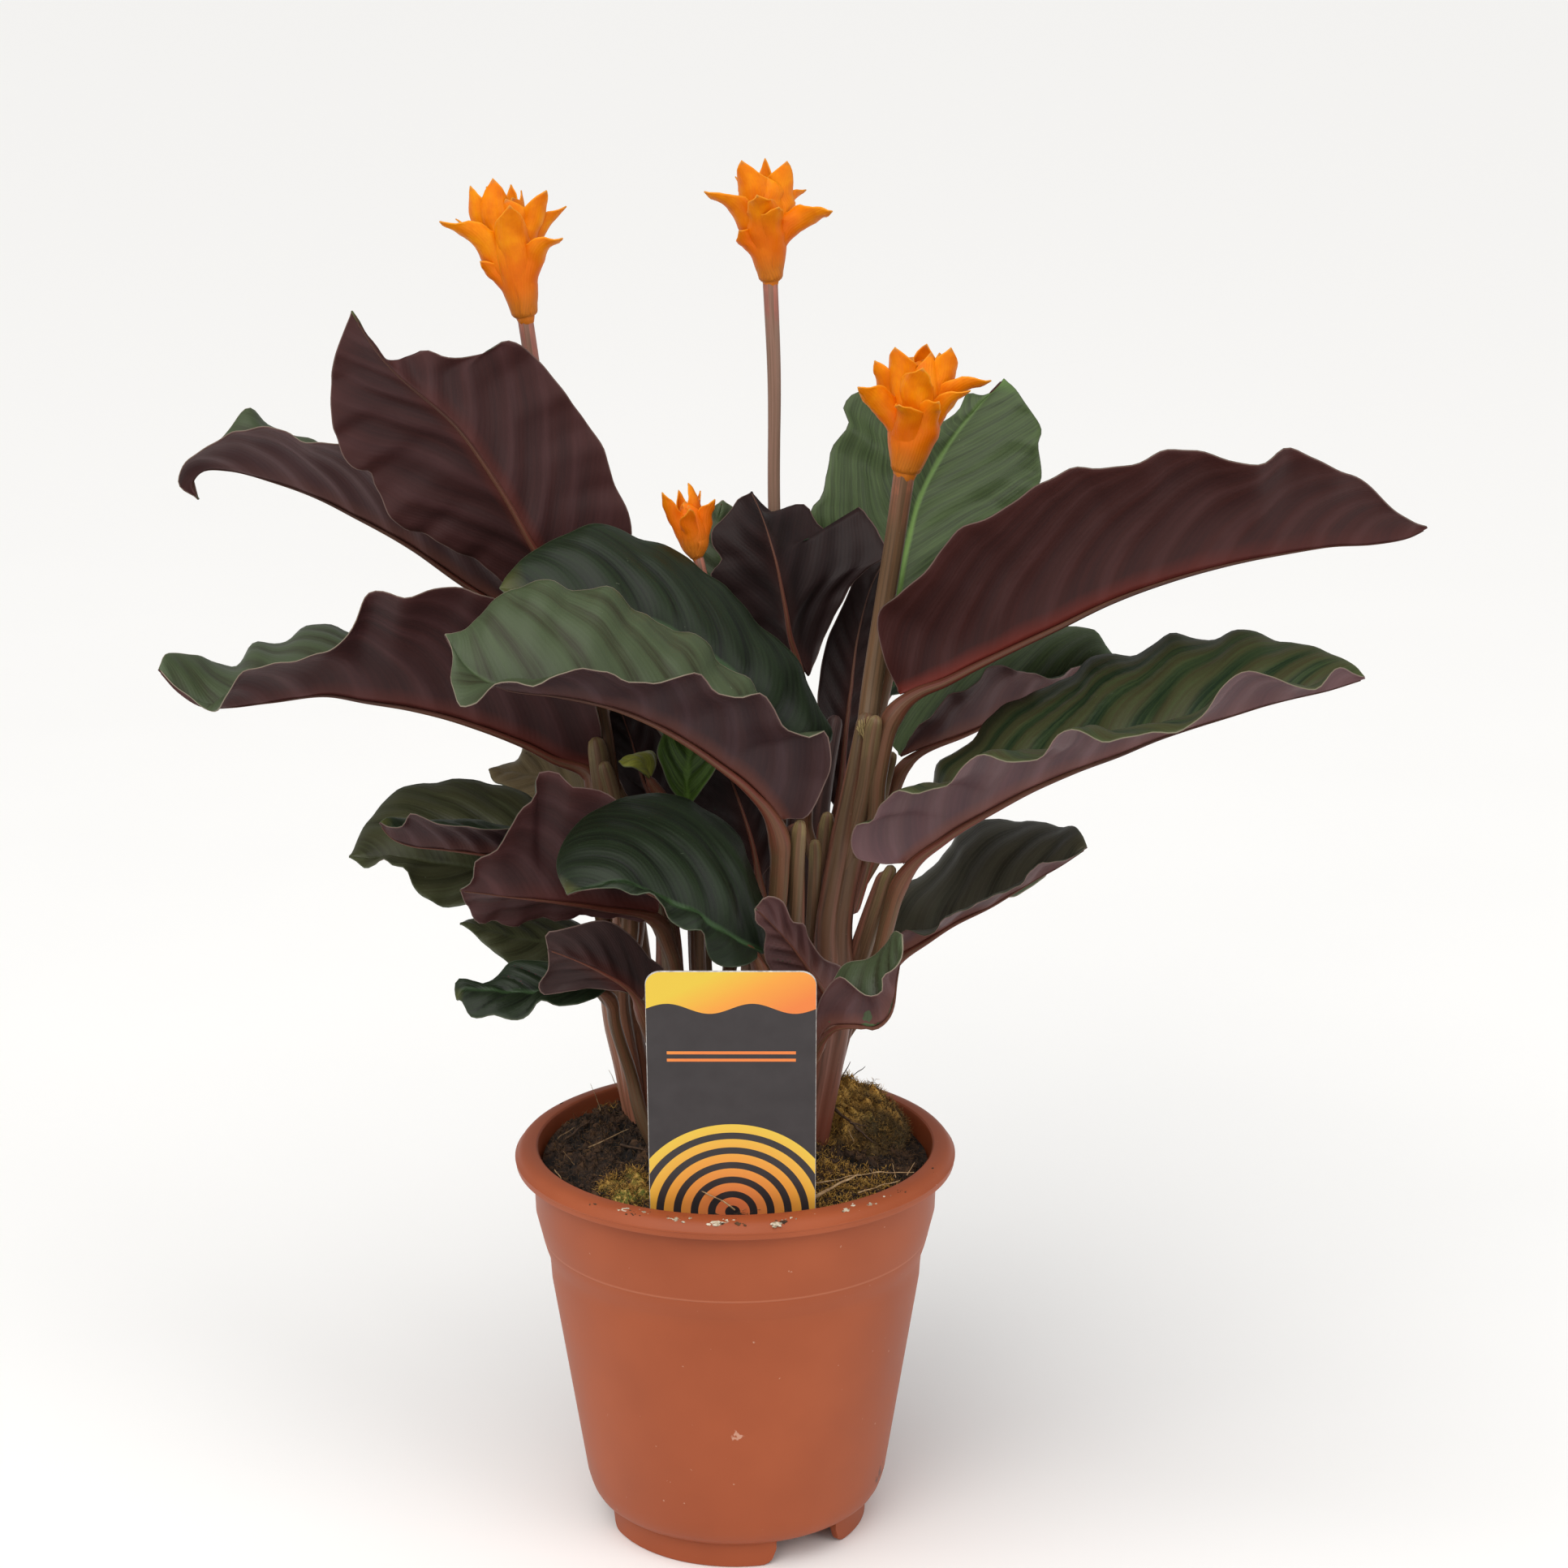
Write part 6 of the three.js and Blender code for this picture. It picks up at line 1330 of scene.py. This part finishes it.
def cut_away(target, shape):
    """Cuts a shape out of a piece."""
    mesh = bpy.data.meshes.new("drill")
    mesh.from_pydata((shape.points * MM + POT_AXIS).tolist(), [], shape.faces)
    tool = shown("drill", mesh)
    cut = target.modifiers.new("drain holes", "BOOLEAN")
    cut.operation, cut.solver, cut.object = "DIFFERENCE", "EXACT", tool
    cut_out = target.evaluated_get(bpy.context.evaluated_depsgraph_get())
    shaped = bpy.data.meshes.new_from_object(cut_out)
    target.modifiers.clear()
    shaped.set_sharp_from_angle(angle=math.radians(26))
    target.data = shaped
    bpy.data.objects.remove(tool)


# Soil, its fibres, and moss

SOIL_RADIUS, SOIL_EDGE, SOIL_CROWN = 61.3, 120.5, 130
CRUMBS, FIBRES = 1700, 13000
SOIL_SIDE = "41.6,10.5 44.2,12.9 46.6,18 57,84 57.5,91.4 59.4,98.6 61.5,107.8 61.5,117"
# Cushions: middle, radii, rings and sides of its body, and how many strands it has.
MOSS = {"moss_right": ((36, 12, 124), (20, 25, 19), 36, 84, 7600),
        "moss_front_left": ((-31, -35, 123), (11.5, 10, 6), 20, 48, 1500)}
# Thinner moss over the soil: x, y, spread, strands.
MOSS_CARPET = [(33, -40, 8, 2000), (43, -31, 6, 700), (26, -22, 6, 900), (20, -48, 6, 600),
               (30, 40, 8, 500), (-26, -43, 6, 500), (-30, 30, 8, 200)]
# Loose dry roots: both ends, radius, and 1 for pale or 2 for dark.
LONG_ROOTS = """0.6,-57.5,127.2,-17.7,-53.5,137.1,0.24,1 24.5,-50.4,128.2,38.1,-39.4,131.4,0.55,1
    25,-43.2,130,42.8,-37.6,131.2,0.22,1 42.8,-37.6,131.2,55.5,-33.6,129.8,0.18,1
    38,-47,128.4,51,-38.4,129,0.18,1 49.9,-34.2,128.4,48.8,-33.4,132.6,0.14,1
    53.4,-32.8,128.6,55.8,-32.4,132.6,0.14,1 44,-36,129,41.5,-36.5,132.4,0.12,1
    37.4,-12.6,132,35.6,-11.6,135.6,0.14,1 30.6,1.6,138.4,38.4,-8.6,135,0.55,2
    38,-8.3,135.2,43.4,-10.8,131,0.42,2 36.4,-6.9,136,42,-5,134,0.28,2 33,22,138,37,25,145,0.24,2
    36,26,138.5,42,29,142,0.2,2 30,18,139,28,16,144,0.16,2 -44,20,130,-47,18,140,0.14,1
    -38,34,130,-42,34,139,0.14,1 -30,42,129,-28,40,137,0.14,1 -52,10,128,-56,-8,131,0.16,1
    -56,-22,126,-52,-38,127.5,0.2,1 -46,-10,129,-34,-2,132,0.2,1 -50,-20,127,-53,-24,133,0.16,1
    -36,-8,129,-24,-20,131,0.4,2 -54,0,128,-44,12,132,0.36,2 10,46,127,26,50,129,0.2,1
    -18,52,126,-4,56,128,0.34,2"""


def relief(x, y):
    """The soil's clods and crumbs: how far they stand above their surroundings."""
    return (2.4 * bumps(x, y, 4, 0.13) + 2.0 * bumps(x, y, 7, 0.3)
            + 1.3 * bumps(x, y, 1, 0.75) + 1.1 * bumps(x, y, 2, 1.9))


def soil_height(x, y):
    """The top of the soil: mounded at the crown, heaped to the back left, and crumbly all over."""
    share = min(math.hypot(x, y) / SOIL_RADIUS, 1)
    height = SOIL_EDGE + 0.6 + (SOIL_CROWN - SOIL_EDGE) * (1 - share ** 2)
    height += 3.5 * math.exp(-((x + 44) ** 2 + (y - 18) ** 2) / 500)
    return height + relief(x, y) * float(ease(0, 0.08, 1.02 - share))


def crumb(centre, size, draw):
    """A crumb of peat: a squashed ball with a rough outline."""
    tilt, squash = draw.uniform(0, math.pi), draw.uniform(0.45, 0.9)
    rings, sides = (4, 7) if size > 0.7 else (3, 5)
    points, faces = [], []
    for i in range(1, rings):
        polar = math.pi * i / rings
        for k in range(sides):
            turn = FULL_TURN * k / sides + tilt
            rough = 1 + draw.uniform(-0.4, 0.4)
            points.append(centre + size * rough * np.array([
                math.sin(polar) * math.cos(turn), squash * math.sin(polar) * math.sin(turn) * 1.2,
                squash * math.cos(polar)]))
    points += [centre + [0, 0, size * squash], centre - [0, 0, size * squash]]
    last = (rings - 2) * sides
    for k in range(sides):
        after = (k + 1) % sides
        faces += [(len(points) - 2, k, after), (len(points) - 1, last + after, last + k)]
        faces += [(low + k, low + sides + k, low + sides + after, low + after)
                  for low in range(0, last, sides)]
    place = draw.uniform(0, 40) + np.array(points) * 0.02
    # its `edge` is its height about its middle, so its lower half is darkened as painted shade
    return Shape(points, faces, 0, place, np.array(points)[:, 2] - centre[2])


def strands(spots, headings, length, radius, curl, steps, clump, draws, depth=0):
    """Many thin three-sided fibres at once: each wanders from its heading and tapers. `length` and
    `radius` are ranges, neighbours in a `clump` share a tint, and `depth` darkens them, partly as
    painted shade."""
    count = len(spots)
    lengths, radii = draws.uniform(*length, count), draws.uniform(*radius, count)
    # one that would pass through the wall turns back towards the middle
    out = np.linalg.norm(spots[:, :2], axis=1)
    near = out + lengths * 0.9 > SOIL_RADIUS + 0.4
    headings[near, :2] = -spots[near, :2] / out[near, None]
    shade = np.array([60 * noise.noise(Vector(spot) / clump) + 60 for spot in spots])
    shade += draws.uniform(-5, 5, count)
    heading = unit(headings)
    middles = [spots]
    for _ in range(steps):
        heading = unit(heading + draws.uniform(-1, 1, (count, 3)) * curl)
        middles.append(middles[-1] + heading * (lengths / steps)[:, None])
    side = unit(np.cross(heading, draws.uniform(-1, 1, (count, 3))))
    other = np.cross(heading, side)
    rings = [middle + (side * math.cos(turn) + other * math.sin(turn))
             * (radii * (1 - 0.75 * (k / steps) ** 2))[:, None]
             for k, middle in enumerate(middles) for turn in np.arange(3) * FULL_TURN / 3]
    size = len(rings)
    one = [(0, 2, 1), (size - 3, size - 2, size - 1)] + tube_faces(steps + 1, 3)
    faces = [tuple(i + n * size for i in face) for n in range(count) for face in one]
    # each strand is darkened towards its root as painted shade within the tuft
    edge = np.tile(np.repeat(np.linspace(-1.3, 1.8, steps + 1), 3), count)  # darker at the root
    return Shape(np.stack(rings, 1), faces, 0, np.repeat(shade, 3 * size),
                 edge - np.repeat(depth + np.zeros(count), size))


def long_root(x, y, z, end_x, end_y, end_z, radius, finish, draws):
    """A dry root, slightly crooked and thinner at its far end."""
    start, way = np.array([x, y, z]), np.array([end_x - x, end_y - y, end_z - z])
    share = np.linspace(0, 1, 6)[:, None]
    stray = draws.uniform(-0.022, 0.022, (6, 3)) * np.linalg.norm(way)
    stray[:, 2] += np.abs(stray[:, 2]) * 0.5
    path, _ = even_curve(start + way * share + stray * (share * (1 - share) * 4) ** 0.5, 20)
    return rod(path, radius * np.linspace(1.1, 0.45, 21), 7, finish=finish,
               section=lambda angle, at_share: 1 + 0.15 * np.cos(2 * angle + at_share * 9))


def make_soil():
    draw = random.Random(31)
    rings, sides = 104, 290
    rows = [circle(radius, height, sides) for radius, height in numbers(SOIL_SIDE)]
    for k in range(rings):
        row = circle(SOIL_RADIUS * (1 - k / rings), 0, sides)
        row[:, 2] = [soil_height(x, y) for x, y, _ in row]
        rows.append(row)
    ball = solid(rows, (0, 0, rows[0][0][2]), (0, 0, soil_height(0, 0)))
    # the hollows between the clods are darkened as painted shade
    ball.edge = np.array([relief(x, y) - 0.4 for x, y, _ in ball.points])
    shapes = [ball]
    for _ in range(CRUMBS):
        around, out = draw.uniform(0, FULL_TURN), SOIL_RADIUS * math.sqrt(draw.uniform(0.1, 0.97))
        x, y = out * math.cos(around), out * math.sin(around)
        size = draw.choice([0.35, 0.4, 0.45, 0.5, 0.6, 0.6, 0.8, 1.0, 1.2])
        if out + size <= SOIL_RADIUS:
            shapes.append(crumb(np.array([x, y, soil_height(x, y) + size * 0.1]), size, draw))
    piece("soil", joined(shapes), [PEAT], smooth=False)

    # fibres, thick on the clods and thin in the hollows
    draws = np.random.default_rng(32)
    around = draws.uniform(0, FULL_TURN, FIBRES)
    out = SOIL_RADIUS * np.sqrt(draws.uniform(0.1, 0.94, FIBRES))
    spots = np.column_stack([out * np.cos(around), out * np.sin(around), np.zeros(FIBRES)])
    spots[:, 2] = [soil_height(x, y) - 0.2 for x, y, _ in spots]
    rise = np.array([relief(x, y) for x, y, _ in spots])
    spots = spots[rise > draws.normal(0.1, 0.8, FIBRES)]
    headings = draws.uniform((-1, -1, -0.2), (1, 1, 1.0), spots.shape)
    shapes = [strands(spots, headings, (1.2, 4.6), (0.05, 0.14), 1.0, 3, 7, draws)]
    shapes += [long_root(*root, draws) for root in numbers(LONG_ROOTS)]
    piece("soil_fibres", joined(shapes), [FIBRE, ROOT, TWIG], node="soil")


def moss_height(centre, radii, x, y):
    """Height of a cushion at x, y: clumpy, highest at its back left, ragged towards its rim."""
    u, v = (x - centre[0]) / radii[0], (y - centre[1]) / radii[1]
    inside = max(1 - u * u - v * v, 0)
    clumps = 4.5 * bumps(x, y, 0.45, 0.15) + 2.6 * bumps(x, y, 3.78, 0.42) + bumps(x, y, 2.2, 1.1)
    lean = radii[2] * (0.42 * v - 0.36 * u) * inside
    return centre[2] + radii[2] * inside ** 0.5 * 0.78 + lean + clumps * inside ** 0.35 - 0.8


def moss_depth(name, x, y):
    """How brown and dark the moss is: its front right side is browner, like peat, and darker, partly
    as painted shade.
    """
    fade = (x - 0.5 * y - 27) / 24 if name == "moss_right" else 0
    return 2.1 * float(ease(0, 1, fade + 0.5 * bumps(x, y, 1.2, 0.2)))


def in_pot(spots, clearance):
    return spots[np.linalg.norm(spots[:, :2], axis=1) < SOIL_RADIUS - clearance]


def make_moss():
    for seed, (name, (centre, radii, rings, sides, count)) in enumerate(MOSS.items()):
        draws = np.random.default_rng(41 + seed)

        def height(x, y):
            return moss_height(centre, radii, x, y)

        rows = []
        for k in range(rings):
            row = circle(math.sin(math.pi / 2 * (1 - k / rings)) * 0.97, 0, sides) * radii + centre
            row[:, 2] = [height(x, y) - 0.6 for x, y, _ in row]
            rows.append(row)
        body = solid(rows, (*centre[:2], centre[2] - 6), (*centre[:2], height(*centre[:2]) - 0.6))
        body.place = body.points * 0.5
        # low between the clumps, where the finish darkens the moss as painted shade, and lower still
        # where moss_depth darkens it
        body.edge = np.array([
            0.2 + 2.4 * bumps(x, y, 0.45, 0.15) + 1.6 * bumps(x, y, 3.78, 0.42)
            - moss_depth(name, x, y) for x, y, _ in body.points])
        around, out = draws.uniform(0, FULL_TURN, count), np.sqrt(draws.uniform(0, 0.99, count))
        spots = np.column_stack([centre[0] + radii[0] * out * np.cos(around),
                                 centre[1] + radii[1] * out * np.sin(around), np.zeros(count)])
        spots = in_pot(spots, 1.5)
        spots[:, 2] = [height(x, y) for x, y, _ in spots] + draws.uniform(-1.2, 0.1, len(spots))
        lean = (spots - centre) / radii + draws.uniform(-1.2, 1.2, spots.shape) + [0, 0, 0.5]
        depth = np.array([moss_depth(name, x, y) for x, y, _ in spots])
        tufts = strands(spots, lean, (1.0, 3.2), (0.06, 0.16), 1.6, 2, 5, draws, depth)
        piece(name, joined([body, tufts]), [MOSS_CUSHION])

    draws = np.random.default_rng(43)
    shapes = []
    for x, y, spread, count in MOSS_CARPET:
        spots = in_pot(np.column_stack([
            draws.normal(x, spread, count), draws.normal(y, spread, count), np.zeros(count)]), 2)
        # clear of the tag
        spots = spots[np.abs(spots[:, 0]) + np.maximum(spots[:, 1] + 49, 0) * 9 > 26]
        spots[:, 2] = [soil_height(x, y) + 1.6 * max(bumps(x, y, 1.75, 0.35), -0.2)
                       for x, y, _ in spots] + draws.uniform(-0.4, 0.7, len(spots))
        lean = draws.uniform((-1, -1, 0.1), (1, 1, 1.2), spots.shape)
        shapes.append(strands(spots, lean, (0.9, 2.6), (0.08, 0.2), 1.0, 2, 5, draws))
    piece("moss_carpet", joined(shapes), [MOSS_CUSHION], node="moss_right")


# Plant tag

TAG_WIDTH, TAG_THICKNESS, TAG_BEVEL, TAG_CORNER, TAG_STAKE = 50, 0.8, 0.15, 4.5, 34
TAG_TOP, TAG_AT_SOIL = np.array([0, -70.7, 206.7]), np.array([0, -54, 128])


def make_tag():
    """A flat printed card with rounded top corners and a stake that narrows into the soil."""
    height = np.linalg.norm(TAG_TOP - TAG_AT_SOIL)
    up = unit(TAG_TOP - TAG_AT_SOIL)
    front = np.array([0, -up[2], up[1]])
    half = TAG_WIDTH / 2
    outline = [(-4, -TAG_STAKE), (4, -TAG_STAKE), (half, -8)]
    for side, start in ((1, 0), (-1, 90)):
        for angle in np.radians(np.linspace(start, start + 90, 9)):
            outline.append((side * (half - TAG_CORNER) + TAG_CORNER * math.cos(angle),
                            height - TAG_CORNER + TAG_CORNER * math.sin(angle)))
    flat = np.array(outline + [(-half, -8)])
    inner = flat.mean(0) + (flat - flat.mean(0)) * (1 - TAG_BEVEL / half)
    low, high = TAG_BEVEL - TAG_THICKNESS / 2, TAG_THICKNESS / 2 - TAG_BEVEL
    place = np.array([(u, v, depth) for ring, depth in (
        (inner, -TAG_THICKNESS / 2), (flat, low), (flat, high), (inner, TAG_THICKNESS / 2))
        for u, v in ring])
    points = TAG_AT_SOIL + place @ np.array([(1, 0, 0), up, front])
    size = len(flat)
    faces = [range(3 * size, 4 * size), range(size - 1, -1, -1)] + tube_faces(4, size)
    card = Shape(points, faces, [0, 2] + [1] * (3 * size), place)
    piece("tag", card, [TAG_FRONT, TAG_EDGE, TAG_BACK], smooth=False)

for make in (make_leaves, make_shoots, make_flower_stalks, make_flowers, make_pot, make_soil,
             make_moss, make_tag):
    make()


# Floor, light and camera


def make_floor():
    """A wide sweep of matt paper, clouded close to the object."""
    paper = Finish("studio_paper", 0.9)
    node = paper.node
    cloud = node("TexNoise", Vector=paper.body, Scale=PER_MM / 300, Detail=2.0)
    far = node("VectorMath", paper.body, out="Value", operation="LENGTH")
    shade = node("Math", node("MapRange", cloud, 0.3, 0.7, 0.0, 1.0),
                 node("MapRange", far, 0.6, 2.5, 0.5, 0.0), operation="MULTIPLY")
    mesh = bpy.data.meshes.new("floor")
    reach = 150.0
    mesh.from_pydata([(-reach, -reach, 0), (reach, -reach, 0), (reach, reach, 0),
                      (-reach, reach, 0)], [], [(0, 1, 2, 3)])
    mesh.materials.append(paper.done("#fbfbfb", [(shade, "#f6f6f6")]))
    shown("floor", mesh)


def lamp(name, place, size, power, tint):
    """A soft box, placed in metres from the pot's axis and aimed at the plant."""
    light = bpy.data.lights.new(name, "AREA")
    light.shape, light.size, light.energy, light.color = "DISK", size, power, srgb(tint)[:3]
    made = shown(name, light)
    made.location = POT_AXIS + np.array(place)
    aim = Vector((0, 0, 0.2)) - Vector(place)
    made.rotation_euler = aim.to_track_quat("-Z", "Y").to_euler()


make_floor()
overhead = bpy.data.lights.new("overhead", "SUN")
overhead.energy, overhead.angle, overhead.color = 2.1, math.radians(75), srgb("#fffdf9")[:3]
shown("overhead", overhead).rotation_euler = (math.radians(34), 0, math.radians(-28))
lamp("key", (-0.7, -1.6, 1.4), 1.4, 8, "#fffcf8")
lamp("fill", (1.6, -1.2, 0.9), 1.4, 11, "#fdfcfa")

world = bpy.data.worlds.new("studio")
world.use_nodes = True
surround = world.node_tree.nodes["Background"].inputs
surround["Color"].default_value = srgb("#fefefe")
surround["Strength"].default_value = 0.42
bpy.context.scene.world = world
bpy.context.scene.view_settings.view_transform = "Standard"

lens = bpy.data.cameras.new("camera")
lens.lens, lens.sensor_width, lens.clip_start, lens.clip_end = LENS_MM, SENSOR_MM, 0.05, 400
camera = shown("camera", lens)
camera.location = POT_AXIS + VIEWPOINT * MM
camera.rotation_euler = (math.radians(90 - VIEW_DOWN), 0, 0)
bpy.context.scene.camera = camera
